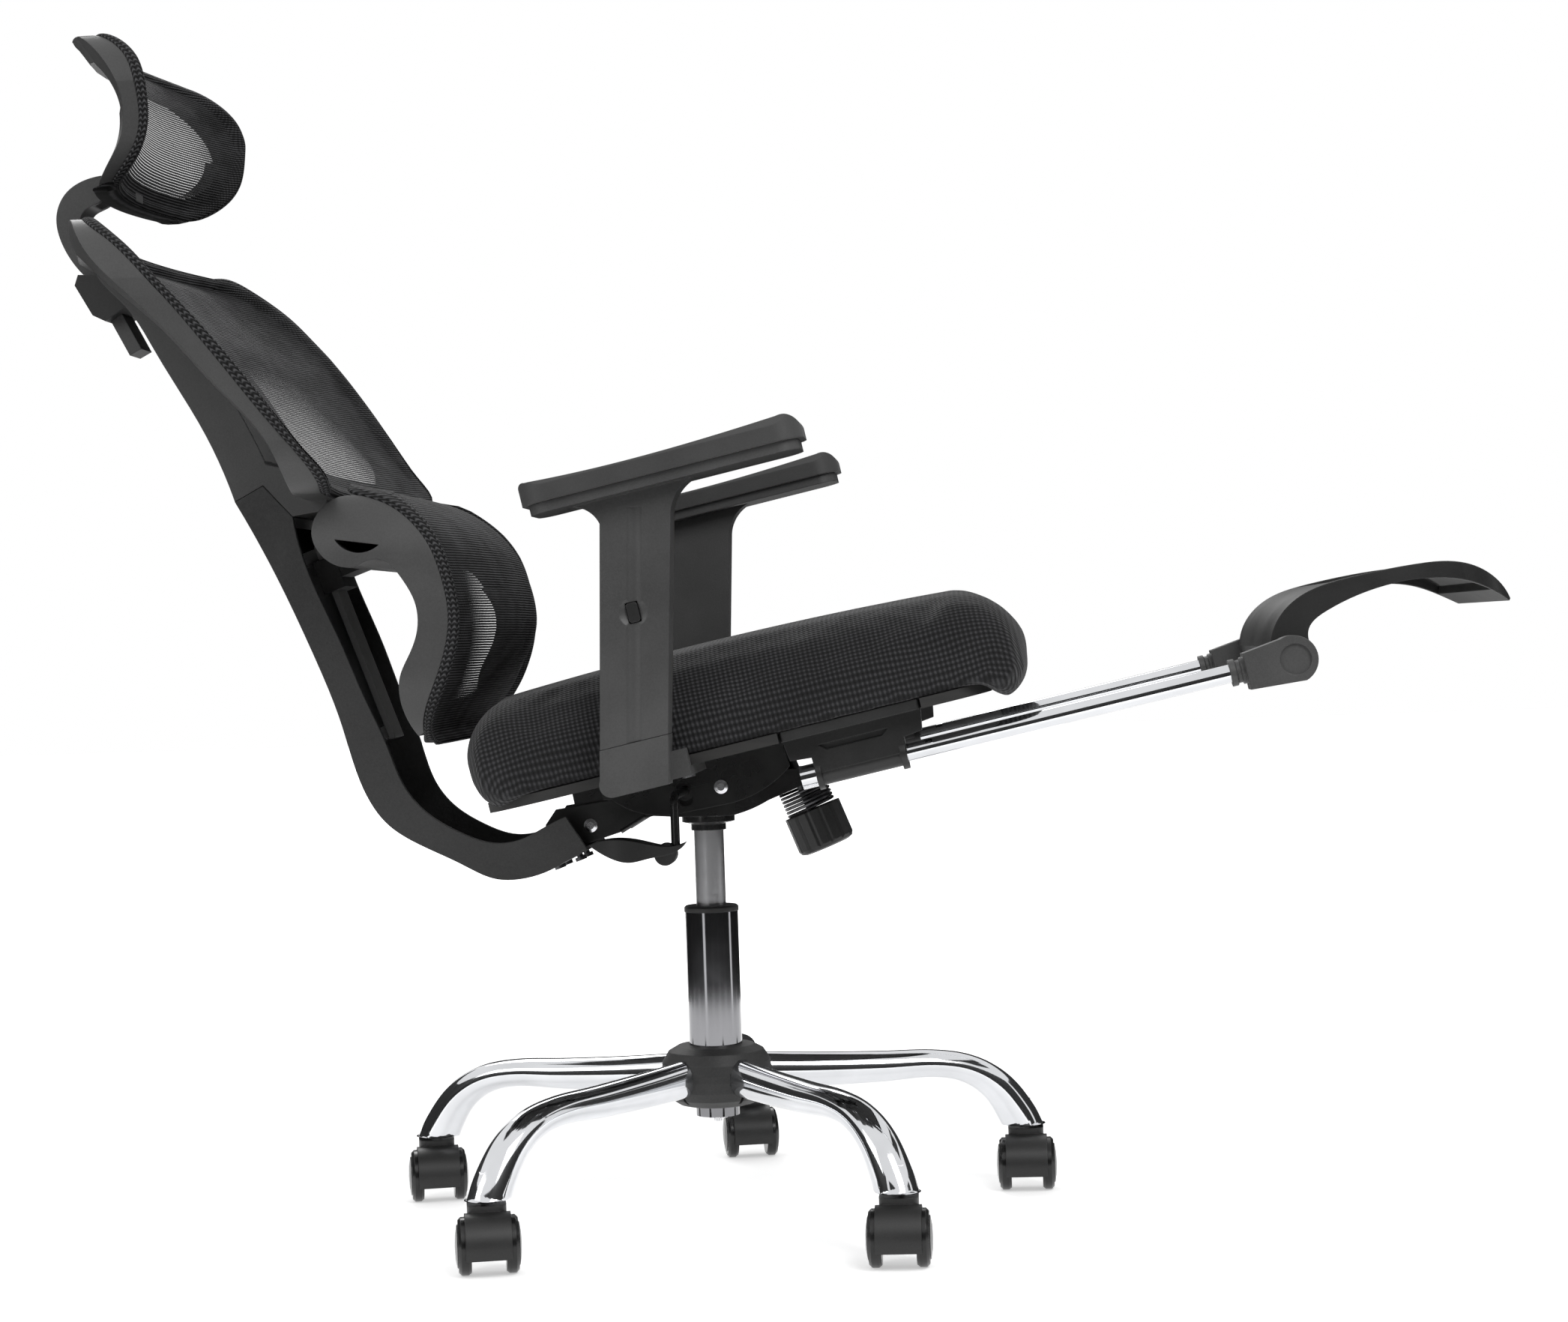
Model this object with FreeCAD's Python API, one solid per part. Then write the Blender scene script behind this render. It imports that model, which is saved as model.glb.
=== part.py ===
import FreeCAD, Part
import math
import os

# Reclining office chair with a slide-out footrest.
# Millimetres. X points to the front of the chair, Y to its left, Z up.
# The origin is on the floor, on the axis of the gas lift.
# The solids stand in the photographed pose: leaned back, footrest out.
# An outline is a list of runs. A run of 2 points is straight, 3 points are an arc,
# and 4 or more are a smooth curve. Each run starts where the last one ended.

# Recline. The seat turns about its tilt pin, the back about its own hinge pin.
SEAT_RECLINE = 12.0
TILT_PIN = (17.0, 403.0)
BACK_HINGE = (-107.4, 370.1)
LINK_PIN = (-46.5, 387.1)
BACK_HINGE_ON_SEAT = (-128.5, -6.3)

# Five-legged base
LEG_ANGLES = (90.0, 18.0, 162.0, -54.0, -126.0)
CASTER_REACH = 305.0
LEG_FOOT_Z = 61.0
HUB_RADIUS = 34.0
HUB_BOTTOM_Z = 104.0
HUB_TOP_Z = 152.0

# Twin-wheel casters
CASTER_YAWS = (12.0, 0.0, 14.0, 0.0, 12.0)
CASTER_TRAIL = 18.0
WHEEL_RADIUS = 25.0
WHEEL_INNER_FACE = 15.0
WHEEL_OUTER_FACE = 26.0
WHEEL_CAP_FACE = 29.0
HOOD_RADIUS = 27.8
HOOD_HALF_WIDTH = 20.0
HOOD_BOTTOM_Z = 16.0
HOOD_TOP_Z = 58.0
AXLE_RADIUS = 3.0
STEM_RADIUS = 5.5
STEM_PIN_RADIUS = 4.0
RUNNING_FIT = 0.08

# Gas lift
LIFT_TUBE_RADIUS = 25.0
LIFT_TUBE_NECK_RADIUS = 20.5
LIFT_TUBE_BOTTOM_Z = 91.0
LIFT_TUBE_TOP_Z = 284.0
CYLINDER_RADIUS = 14.0
CYLINDER_BOTTOM_Z = 165.0
CYLINDER_BORE_RADIUS = 11.0
PISTON_ROD_RADIUS = 5.0

# Tilt mechanism, half-widths from the middle plane of the chair
HOUSING_HALF_WIDTH = 25.0
EAR_HALF_WIDTH = 30.5
BACK_BRACKET_HALF_WIDTH = 34.5
SEAT_BRACKET_HALF_WIDTH = 38.5
PLATE = 2.5
LEVER_X = -18.0
LEVER_Z = 400.0
LEVER_REACH = 120.0
LEVER_ROD_RADIUS = 4.0
SPRING_LEAN = 21.5
SPRING_TOP = (89.7, 400.2)
SPRING_LENGTH = 24.6
SPRING_WIRE_RADIUS = 1.5
SPRING_COIL_RADIUS = 22.5
SPRING_PITCH = 3.5
SPRING_TURNS = 6
KNOB_RADIUS = 27.5
KNOB_LENGTH = 38.0
KNOB_GROOVES = 14

# Seat, measured from the tilt pin with the seat level
BOARD_BOTTOM = 30.0
BOARD_TOP = 39.0
BOARD_HALF_WIDTH = 236.0
CUSHION_HALF_WIDTH = 247.0

# Footrest, measured from the tilt pin with the seat level
TUBE_SPACING = 198.5
TUBE_LEVEL = -5.0
TUBE_RADIUS = 8.0
FOOTREST_PIVOT = (528.0, -6.0)
FOOTREST_HALF_WIDTH = 174.0

# Armrests, measured from the tilt pin with the seat level
ARM_CENTRE = 265.0
ARM_LEAN = 13.9
ARM_STEM_HALF_DEPTH = 15.0
ARM_PAD_HALF_WIDTH = 42.0
ARM_BUTTON = (-11.6, 169.0)

# Backrest. Seen from above it is a hollow curve: its middle is drawn back from its sides.
CHANNEL_WALL = 5.0
BACK_HALF_WIDTH = 290.0
BACK_FOOT_HALF_WIDTH = 252.0
BACK_FOOT_Z = 681.0
BACK_TOP_Z = 933.0
BACK_BAR = 26.0
BACK_BOW_AT_FOOT = 30.0
BACK_BOW_AT_TOP = 70.0
LUMBAR_HALF_WIDTH = 212.0
HEADREST_HALF_WIDTH = 175.0
HEADREST_BOW = 42.0
HEADREST_BOLT = (-558.6, 993.0)


def point(x, y, z):
    return FreeCAD.Vector(x, y, z)


def outline_wire(runs, place):
    """A closed wire through the runs; place turns an outline point into a point in space."""
    edges = []
    for run in runs:
        points = [place(a, b) for a, b in run]
        if len(points) == 2:
            edges.append(Part.LineSegment(points[0], points[1]).toShape())
        elif len(points) == 3:
            edges.append(Part.Arc(points[0], points[1], points[2]).toShape())
        else:
            curve = Part.BSplineCurve()
            curve.interpolate(points)
            edges.append(curve.toShape())
    return Part.Wire(edges)


def polygon(*corners):
    """Straight runs round the corners and back to the first."""
    return [[corners[i], corners[(i + 1) % len(corners)]] for i in range(len(corners))]


def closed(*runs):
    """The runs, with a straight run back to the first point where they leave a gap."""
    if runs[-1][-1] == runs[0][0]:
        return list(runs)
    return list(runs) + [[runs[-1][-1], runs[0][0]]]


def side_slab(runs, y_low, y_high):
    """A solid with an X-Z outline, between two Y values."""
    face = Part.Face(outline_wire(runs, lambda a, b: point(a, y_low, b)))
    return face.extrude(point(0, y_high - y_low, 0))


def front_slab(runs, x_low, x_high):
    """A solid with a Y-Z outline, between two X values."""
    face = Part.Face(outline_wire(runs, lambda a, b: point(x_low, a, b)))
    return face.extrude(point(x_high - x_low, 0, 0))


def plan_slab(runs, z_low, z_high):
    """A solid with an X-Y outline, between two Z values."""
    face = Part.Face(outline_wire(runs, lambda a, b: point(a, b, z_low)))
    return face.extrude(point(0, 0, z_high - z_low))


def turned_profile(runs):
    """A solid of revolution about Z from an outline of radius and height."""
    face = Part.Face(outline_wire(runs, lambda a, b: point(a, 0, b)))
    return face.revolve(point(0, 0, 0), point(0, 0, 1), 360)


def box(x_low, x_high, y_low, y_high, z_low, z_high):
    size = (x_high - x_low, y_high - y_low, z_high - z_low)
    return Part.makeBox(size[0], size[1], size[2], point(x_low, y_low, z_low))


def rod(start, end, radius):
    """A round bar from one point to another."""
    direction = end - start
    return Part.makeCylinder(radius, direction.Length, start, direction)


def cross_rod(centre, radius, y_low, y_high):
    """A round bar along Y through an X-Z centre."""
    return rod(point(centre[0], y_low, centre[1]), point(centre[0], y_high, centre[1]), radius)


def rounded_rectangle(a_low, a_high, b_low, b_high, radius):
    """Runs of a rectangle with four quarter-round corners."""
    k = radius * (1 - math.sqrt(0.5))
    return [
        [(a_low + radius, b_low), (a_high - radius, b_low)],
        [(a_high - radius, b_low), (a_high - k, b_low + k), (a_high, b_low + radius)],
        [(a_high, b_low + radius), (a_high, b_high - radius)],
        [(a_high, b_high - radius), (a_high - k, b_high - k), (a_high - radius, b_high)],
        [(a_high - radius, b_high), (a_low + radius, b_high)],
        [(a_low + radius, b_high), (a_low + k, b_high - k), (a_low, b_high - radius)],
        [(a_low, b_high - radius), (a_low, b_low + radius)],
        [(a_low, b_low + radius), (a_low + k, b_low + k), (a_low + radius, b_low)],
    ]


def mirrored(shape):
    """The same shape on the other side of the chair."""
    return shape.mirror(point(0, 0, 0), point(0, 1, 0))


def both_sides(shape):
    return Part.makeCompound([shape, mirrored(shape)])


def offset_curve(points, distance):
    """Points moved to the right of the direction of travel by a distance."""
    moved = []
    for i, (a, b) in enumerate(points):
        before = points[max(i - 1, 0)]
        after = points[min(i + 1, len(points) - 1)]
        run = (after[0] - before[0], after[1] - before[1])
        length = math.hypot(run[0], run[1])
        moved.append((a + run[1] / length * distance, b - run[0] / length * distance))
    return moved


def on_seat(shape):
    """Moves a shape built about the tilt pin, seat level, to its reclined place."""
    placed = shape.copy()
    placed.rotate(point(0, 0, 0), point(0, 1, 0), -SEAT_RECLINE)
    placed.translate(point(TILT_PIN[0], 0, TILT_PIN[1]))
    return placed


def save(name, shape):
    shape.exportStep("parts/" + name + ".step")


# Base and casters

def leg_section(reach, height, pitch, depth, width):
    """One twelve-sided oval of a leg, square to the leg's middle line."""
    turn = math.radians(pitch)
    ring = []
    for i in range(13):
        angle = math.radians(i * 30 + 15)
        rise = depth / 2 * math.sin(angle)
        across = width / 2 * math.cos(angle)
        ring.append(point(reach + math.sin(turn) * rise, across, height + math.cos(turn) * rise))
    return Part.makePolygon(ring)


def one_leg():
    """A chromed leg along +X: straight out of the hub, then bent down to its foot."""
    sections = [
        leg_section(28, 131.0, 0, 36, 30),
        leg_section(95, 127.5, 2, 33, 31),
        leg_section(160, 125.5, 1, 30, 32),
        leg_section(212, 125.0, 8, 27, 33),
        leg_section(248, 117.5, 24, 28, 34),
        leg_section(276, 99.5, 44, 32, 36),
        leg_section(296, 72.0, 64, 37, 38),
        leg_section(305, 50.0, 74, 40, 39),
    ]
    leg = Part.makeLoft(sections, True, True)
    rib = closed([(40, 122), (228, 118)], [(228, 118), (190, 106), (150, 101)], [(150, 101), (40, 104)])
    fin = side_slab(rib, -1.5, 1.5)
    return leg.fuse(fin).cut(box(200, 400, -50, 50, 0, LEG_FOOT_Z))


def lift_tube_envelope():
    """The outside of the lift's outer tube, which tapers into the hub."""
    return turned_profile(polygon(
        (0, LIFT_TUBE_BOTTOM_Z), (LIFT_TUBE_NECK_RADIUS, LIFT_TUBE_BOTTOM_Z),
        (LIFT_TUBE_NECK_RADIUS, HUB_BOTTOM_Z), (LIFT_TUBE_RADIUS, HUB_TOP_Z),
        (LIFT_TUBE_RADIUS, LIFT_TUBE_TOP_Z), (0, LIFT_TUBE_TOP_Z)))


def make_base_legs():
    hub = rod(point(0, 0, HUB_BOTTOM_Z), point(0, 0, HUB_TOP_Z), HUB_RADIUS)
    leg = one_leg()
    for angle in LEG_ANGLES:
        turned = leg.copy()
        turned.rotate(point(0, 0, 0), point(0, 0, 1), angle)
        hub = hub.fuse(turned)
    hub = hub.cut(lift_tube_envelope())
    for x, y in caster_places():
        hub = hub.cut(rod(point(x, y, 50), point(x, y, 86), STEM_RADIUS))
    return hub


def make_hub_cover(legs):
    """The dark ball-shaped cover that the legs come out of."""
    ball = turned_profile(polygon(
        (LIFT_TUBE_RADIUS, 150.0), (LIFT_TUBE_RADIUS, 158.5), (36, 157.5), (45, 152.5), (51, 143),
        (52.5, 134), (52.5, 127), (50.5, 117), (45, 108.5), (36, 102.5), (30, 101), (LIFT_TUBE_NECK_RADIUS, 101)))
    return ball.cut(legs).cut(lift_tube_envelope())


def caster_places():
    """Where each caster's stem stands on the floor plan."""
    places = []
    for angle in LEG_ANGLES:
        turn = math.radians(angle)
        places.append((CASTER_REACH * math.cos(turn), CASTER_REACH * math.sin(turn)))
    return places


def make_caster_stems():
    """Five steel stems: the thick end sits in the foot, the thin pin carries the hood."""
    stem = turned_profile(polygon(
        (0, 38), (STEM_PIN_RADIUS, 38), (STEM_PIN_RADIUS, 59), (STEM_RADIUS, 59), (STEM_RADIUS, 85), (0, 85)))
    stems = []
    for x, y in caster_places():
        placed = stem.copy()
        placed.translate(point(x, y, 0))
        stems.append(placed)
    return Part.makeCompound(stems)


def x_rod(x_low, x_high, y, z, radius):
    return rod(point(x_low, y, z), point(x_high, y, z), radius)


def caster_hood():
    """Fender over both treads, a block between the wheels and the stem's boss, with its axle."""
    drum = x_rod(-HOOD_HALF_WIDTH, HOOD_HALF_WIDTH, -CASTER_TRAIL, WHEEL_RADIUS, HOOD_RADIUS)
    for side in (-1, 1):
        inner = side * (WHEEL_INNER_FACE - 0.5)
        outer = side * 40.0
        hollow = x_rod(min(inner, outer), max(inner, outer), -CASTER_TRAIL, WHEEL_RADIUS, WHEEL_RADIUS + 0.6)
        drum = drum.cut(hollow)
    boss = plan_slab(rounded_rectangle(-17, 17, -16, 16, 9), 40, HOOD_TOP_Z)
    boss = boss.cut(x_rod(-40, 40, -CASTER_TRAIL, WHEEL_RADIUS, HOOD_RADIUS - 1))
    neck = box(-14.0, 14.0, -4, 12, 30, 44)
    hood = drum.fuse(boss).fuse(neck).cut(box(-40, 40, -60, 60, -5, HOOD_BOTTOM_Z))
    hood = hood.cut(rod(point(0, 0, 37.4), point(0, 0, 60), STEM_PIN_RADIUS + RUNNING_FIT))
    axle = x_rod(-24, 24, -CASTER_TRAIL, WHEEL_RADIUS, AXLE_RADIUS)
    return Part.makeCompound([hood.cut(axle), axle])


def caster_wheel(side):
    """A wheel with a bevelled tread, a raised ring and a domed cap on its outer face."""
    wheel = turned_profile(polygon(
        (0, 24.4), (0, WHEEL_CAP_FACE), (11, 28.4), (18.5, 27.0), (19.0, WHEEL_OUTER_FACE),
        (22.5, WHEEL_OUTER_FACE), (WHEEL_RADIUS, 23.5), (WHEEL_RADIUS, 17.5), (23.0, WHEEL_INNER_FACE),
        (AXLE_RADIUS + RUNNING_FIT, WHEEL_INNER_FACE), (AXLE_RADIUS + RUNNING_FIT, 24.4)))
    wheel.rotate(point(0, 0, 0), point(0, 1, 0), 90 * side)
    wheel.translate(point(0, -CASTER_TRAIL, WHEEL_RADIUS))
    return wheel


def place_caster(shape, index):
    x, y = caster_places()[index]
    placed = shape.copy()
    placed.rotate(point(0, 0, 0), point(0, 0, 1), CASTER_YAWS[index])
    placed.translate(point(x, y, 0))
    return placed


# Gas lift

def make_outer_tube():
    """The fixed outer tube, open at the top, with a floor that carries the rod's bearing."""
    inside = turned_profile(polygon(
        (0, LIFT_TUBE_BOTTOM_Z + 5), (LIFT_TUBE_NECK_RADIUS - 2, LIFT_TUBE_BOTTOM_Z + 5),
        (LIFT_TUBE_NECK_RADIUS - 2, HUB_BOTTOM_Z), (LIFT_TUBE_RADIUS - 2, HUB_TOP_Z),
        (LIFT_TUBE_RADIUS - 2, LIFT_TUBE_TOP_Z + 1), (0, LIFT_TUBE_TOP_Z + 1)))
    tube = lift_tube_envelope().cut(inside)
    return tube.cut(rod(point(0, 0, 85), point(0, 0, 100), 4.0 + RUNNING_FIT))


def make_tube_collar():
    """Black guide bush pressed into the top of the outer tube."""
    return turned_profile(polygon(
        (CYLINDER_RADIUS + RUNNING_FIT, 205), (LIFT_TUBE_RADIUS - 2, 205),
        (LIFT_TUBE_RADIUS - 2, LIFT_TUBE_TOP_Z), (LIFT_TUBE_RADIUS + 0.7, LIFT_TUBE_TOP_Z),
        (LIFT_TUBE_RADIUS + 0.7, LIFT_TUBE_TOP_Z + 4.0), (LIFT_TUBE_RADIUS - 0.8, LIFT_TUBE_TOP_Z + 5.5),
        (CYLINDER_RADIUS + RUNNING_FIT, LIFT_TUBE_TOP_Z + 5.5)))


def make_thrust_bearing():
    """Ring that the piston rod turns on, on the floor of the outer tube."""
    return turned_profile(polygon((5.2, 96), (15, 96), (15, 101), (5.2, 101)))


def make_piston_rod():
    """Thin rod with its piston above, and a neck below for the retaining clip."""
    return turned_profile(polygon(
        (0, 85), (4.0, 85), (4.0, 101.2), (9.0, 101.2), (9.0, 104), (PISTON_ROD_RADIUS, 104),
        (PISTON_ROD_RADIUS, 228), (CYLINDER_BORE_RADIUS - RUNNING_FIT, 228),
        (CYLINDER_BORE_RADIUS - RUNNING_FIT, 240), (0, 240)))


def make_retaining_clip():
    """Spring clip under the outer tube that keeps the rod in."""
    ring = turned_profile(polygon((4.2, 88.4), (9.5, 88.4), (9.5, LIFT_TUBE_BOTTOM_Z), (4.2, LIFT_TUBE_BOTTOM_Z)))
    return ring.cut(box(-20, 0, -1.8, 1.8, 80, 100))


def make_gas_cylinder():
    """Polished cylinder: it slides on the rod, and its tapered top is held by the mechanism."""
    body = turned_profile(polygon(
        (0, CYLINDER_BOTTOM_Z), (CYLINDER_RADIUS, CYLINDER_BOTTOM_Z), (CYLINDER_RADIUS, 372),
        (CYLINDER_RADIUS - 1, 399), (4, 399), (4, 403.5), (0, 403.5)))
    body = body.cut(rod(point(0, 0, CYLINDER_BOTTOM_Z + 12), point(0, 0, 388), CYLINDER_BORE_RADIUS))
    return body.cut(rod(point(0, 0, 160), point(0, 0, 200), PISTON_ROD_RADIUS + RUNNING_FIT))


# Tilt mechanism, the part that stays level on the gas lift

def spring_axis():
    """Unit vector down the tension bolt, and the middle of the spring's top end."""
    lean = math.radians(SPRING_LEAN)
    return point(math.sin(lean), 0, -math.cos(lean)), point(SPRING_TOP[0], 0, SPRING_TOP[1])


def make_tilt_housing():
    """A deep pressed channel with a socket for the cylinder and an arm over the spring."""
    w = HOUSING_HALF_WIDTH
    shell = side_slab(closed(
        [(-76, 398), (-76, 388)], [(-76, 388), (-73, 380), (-62, 377.5)],
        [(-62, 377.5), (-24, 375)], [(-24, 375), (24, 374.8)],
        [(24, 374.8), (42, 380), (60, 388.5)], [(60, 388.5), (117, 411)],
        [(117, 411), (116, 419)], [(116, 419), (40, 415)],
        [(40, 415), (-30, 410)]), -w, w)
    hollow = side_slab(closed(
        [(-80, 410), (-80, 391)], [(-80, 391), (-62, 380.5)], [(-62, 380.5), (22, 377.8)],
        [(22, 377.8), (41, 383.2), (58.5, 391.5)], [(58.5, 391.5), (125, 417.7)],
        [(125, 417.7), (125, 440)], [(125, 440), (-80, 440)]), PLATE - w, w - PLATE)
    socket = turned_profile(polygon(
        (0, 361), (16.5, 361), (16.5, 367), (w, 369), (w, 376), (19.5, 378), (18, 388), (0, 388)))
    bore = turned_profile(polygon((0, 340), (CYLINDER_RADIUS, 340), (CYLINDER_RADIUS, 372),
                                  (CYLINDER_RADIUS - 1, 399), (0, 399)))
    housing = shell.cut(hollow).fuse(socket).cut(bore)
    housing = housing.cut(cross_rod(TILT_PIN, 5 + RUNNING_FIT, -60, 60))
    housing = housing.cut(link_slot())
    housing = housing.cut(cross_rod((LEVER_X, LEVER_Z), 7.5, -60, 0))
    bolt_x, bolt_z = SPRING_TOP
    return housing.cut(plan_slab(rounded_rectangle(bolt_x - 16, bolt_x + 11, -6.5, 6.5, 6), bolt_z - 20, bolt_z + 30))


def link_slot():
    """Slot that the back's link pin slides in as the chair leans."""
    x, z = LINK_PIN
    slot = box(x - 3, x + 3, -60, 60, z - 4.8, z + 4.8)
    return slot.fuse(cross_rod((x - 3, z), 4.8, -60, 60)).fuse(cross_rod((x + 3, z), 4.8, -60, 60))


def make_lever_bush():
    """Barrel-shaped nylon bush in the housing wall that the lever rocks and slides in."""
    bush = turned_profile(polygon(
        (0, -30.5), (9.5, -30.5), (9.5, -28), (6.4, -28), (7.2, -25), (7.2, -22.5), (6.4, -19), (0, -19)))
    bush.rotate(point(0, 0, 0), point(1, 0, 0), -90)
    bush.translate(point(LEVER_X, 0, LEVER_Z))
    return bush.cut(cross_rod((LEVER_X, LEVER_Z), LEVER_ROD_RADIUS + RUNNING_FIT, -60, 0))


def make_lever_rod():
    """Bent steel rod: across the mechanism, then down to the paddle, with a tongue over the valve."""
    bend = 9.0
    low = 352.0
    inner = cross_rod((LEVER_X, LEVER_Z), LEVER_ROD_RADIUS, -LEVER_REACH + bend, 14)
    elbow_face = Part.Face(Part.Wire([Part.Circle(
        point(LEVER_X, -LEVER_REACH + bend, LEVER_Z), point(0, 1, 0), LEVER_ROD_RADIUS).toShape()]))
    elbow = elbow_face.revolve(point(LEVER_X, -LEVER_REACH + bend, LEVER_Z - bend), point(1, 0, 0), 90)
    drop = rod(point(LEVER_X, -LEVER_REACH, LEVER_Z - bend), point(LEVER_X, -LEVER_REACH, low), LEVER_ROD_RADIUS)
    tongue = box(LEVER_X, 5, -4, 14, LEVER_Z + 7.9, LEVER_Z + 10.4)
    riser = box(LEVER_X - 3, LEVER_X + 3, -4, 14, LEVER_Z, LEVER_Z + 10.4)
    return inner.fuse(elbow).fuse(drop).fuse(riser).fuse(tongue)


def make_lever_paddle(lever):
    """Leaf-shaped plastic paddle with a round boss on the rod's lower end."""
    leaf = side_slab(closed(
        [(-97, 357.6), (-88, 361.0), (-50, 360.0), (-20, 355.0), (-8, 358.5)],
        [(-8, 358.5), (-16, 350.5), (-40, 345.0), (-58.8, 341.7), (-79.3, 347.5), (-97, 357.6)]),
        -LEVER_REACH - 20, -LEVER_REACH + 20)
    shape = plan_slab(closed(
        [(-99, -LEVER_REACH - 2), (-75, -LEVER_REACH - 17), (-40, -LEVER_REACH - 16), (-6, -LEVER_REACH - 5)],
        [(-6, -LEVER_REACH - 5), (-6, -LEVER_REACH + 5)],
        [(-6, -LEVER_REACH + 5), (-40, -LEVER_REACH + 12), (-75, -LEVER_REACH + 12), (-99, -LEVER_REACH + 2)]),
        300, 400)
    paddle = leaf.common(shape).fuse(cross_rod((-27, 347.5), 10.0, -LEVER_REACH - 9, -LEVER_REACH + 9))
    return paddle.cut(lever)


def biarc(start, start_way, end, end_way):
    """Two arcs that join two points and keep the direction at both."""
    gap = end - start
    ways = start_way + end_way
    spread = 2 * (1 - start_way.dot(end_way))
    reach = (-gap.dot(ways) + math.sqrt(gap.dot(ways) ** 2 + spread * gap.dot(gap))) / spread
    joint = (start + end + (start_way - end_way) * reach) * 0.5
    return [arc_from(start, start_way, joint), arc_from(end, end_way * -1, joint)]


def arc_from(start, way, end):
    """The arc that leaves a point in a direction and reaches another point."""
    chord = end - start
    unit = chord * (1 / chord.Length)
    side = way - unit * way.dot(unit)
    side = side * (1 / side.Length)
    half_angle = math.acos(max(-1.0, min(1.0, way.dot(unit)))) / 2
    middle = (start + end) * 0.5 + side * (chord.Length / 2 * math.tan(half_angle))
    return Part.Arc(start, middle, end).toShape()


def make_tension_spring():
    """One unbroken coil, nearly closed because the chair is leaned back."""
    steps = SPRING_TURNS * 4
    rise = SPRING_PITCH / (2 * math.pi)
    points = []
    ways = []
    for i in range(steps + 1):
        angle = i * math.pi / 2
        spot = point(SPRING_COIL_RADIUS * math.cos(angle), SPRING_COIL_RADIUS * math.sin(angle), rise * angle)
        way = point(-SPRING_COIL_RADIUS * math.sin(angle), SPRING_COIL_RADIUS * math.cos(angle), rise)
        points.append(spot)
        ways.append(way * (1 / way.Length))
    edges = []
    for i in range(steps):
        first, second = biarc(points[i], ways[i], points[i + 1], ways[i + 1])
        edges += [first, second]
    path = Part.Wire(Part.__sortEdges__(edges))
    out = point(1, 0, 0)
    across = ways[0].cross(out)
    rim = []
    for i in range(7):
        angle = math.radians(i * 60)
        rim.append(points[0] + (out * math.cos(angle) + across * math.sin(angle)) * SPRING_WIRE_RADIUS)
    section = Part.makePolygon(rim)
    spring = path.makePipeShell([section], True, False)
    print("spring: least gap between turns", round(SPRING_PITCH - 2 * SPRING_WIRE_RADIUS, 2), "mm")
    down, top = spring_axis()
    slack = (SPRING_LENGTH - SPRING_TURNS * SPRING_PITCH) / 2
    spring.rotate(point(0, 0, 0), point(0, 1, 0), 180 - SPRING_LEAN)
    spring.translate(top + down * slack)
    return spring


def along_spring(start, end, radius):
    """A round bar on the spring's axis, by distance below the spring's top end."""
    down, top = spring_axis()
    return rod(top + down * start, top + down * end, radius)


def make_tension_bolt():
    """Bolt from the seat bracket through the spring into the knob."""
    shank = along_spring(-40, SPRING_LENGTH + 30, 5)
    head = along_spring(-40, -32, 11)
    under_plate = on_seat(box(-50, 150, -60, 60, -100, BOARD_BOTTOM - PLATE))
    return shank.fuse(head).common(under_plate)


def make_tension_knob():
    """Grooved knob with a rounded end, threaded on the tension bolt."""
    rim = []
    for i in range(KNOB_GROOVES):
        for share, radius in ((0.0, KNOB_RADIUS), (0.62, KNOB_RADIUS), (0.81, KNOB_RADIUS - 1.2)):
            turn = (i + share) / KNOB_GROOVES * 2 * math.pi
            rim.append((radius * math.cos(turn), radius * math.sin(turn)))
    r, length = KNOB_RADIUS, KNOB_LENGTH
    knob = turned_profile(polygon((0, 0), (r, 0), (r, length - 5), (r - 2, length - 1.5), (r - 6, length),
                                  (r - 9, length), (r - 11, length - 1.5), (0, length - 1.5)))
    knob = knob.common(plan_slab(polygon(*rim), -1, length + 1))
    down, top = spring_axis()
    knob.rotate(point(0, 0, 0), point(0, 1, 0), 180 - SPRING_LEAN)
    knob.translate(top + down * SPRING_LENGTH)
    return knob.cut(along_spring(SPRING_LENGTH - 2, SPRING_LENGTH + 31, 5 + RUNNING_FIT))


# Seat, built level about the tilt pin

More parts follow.
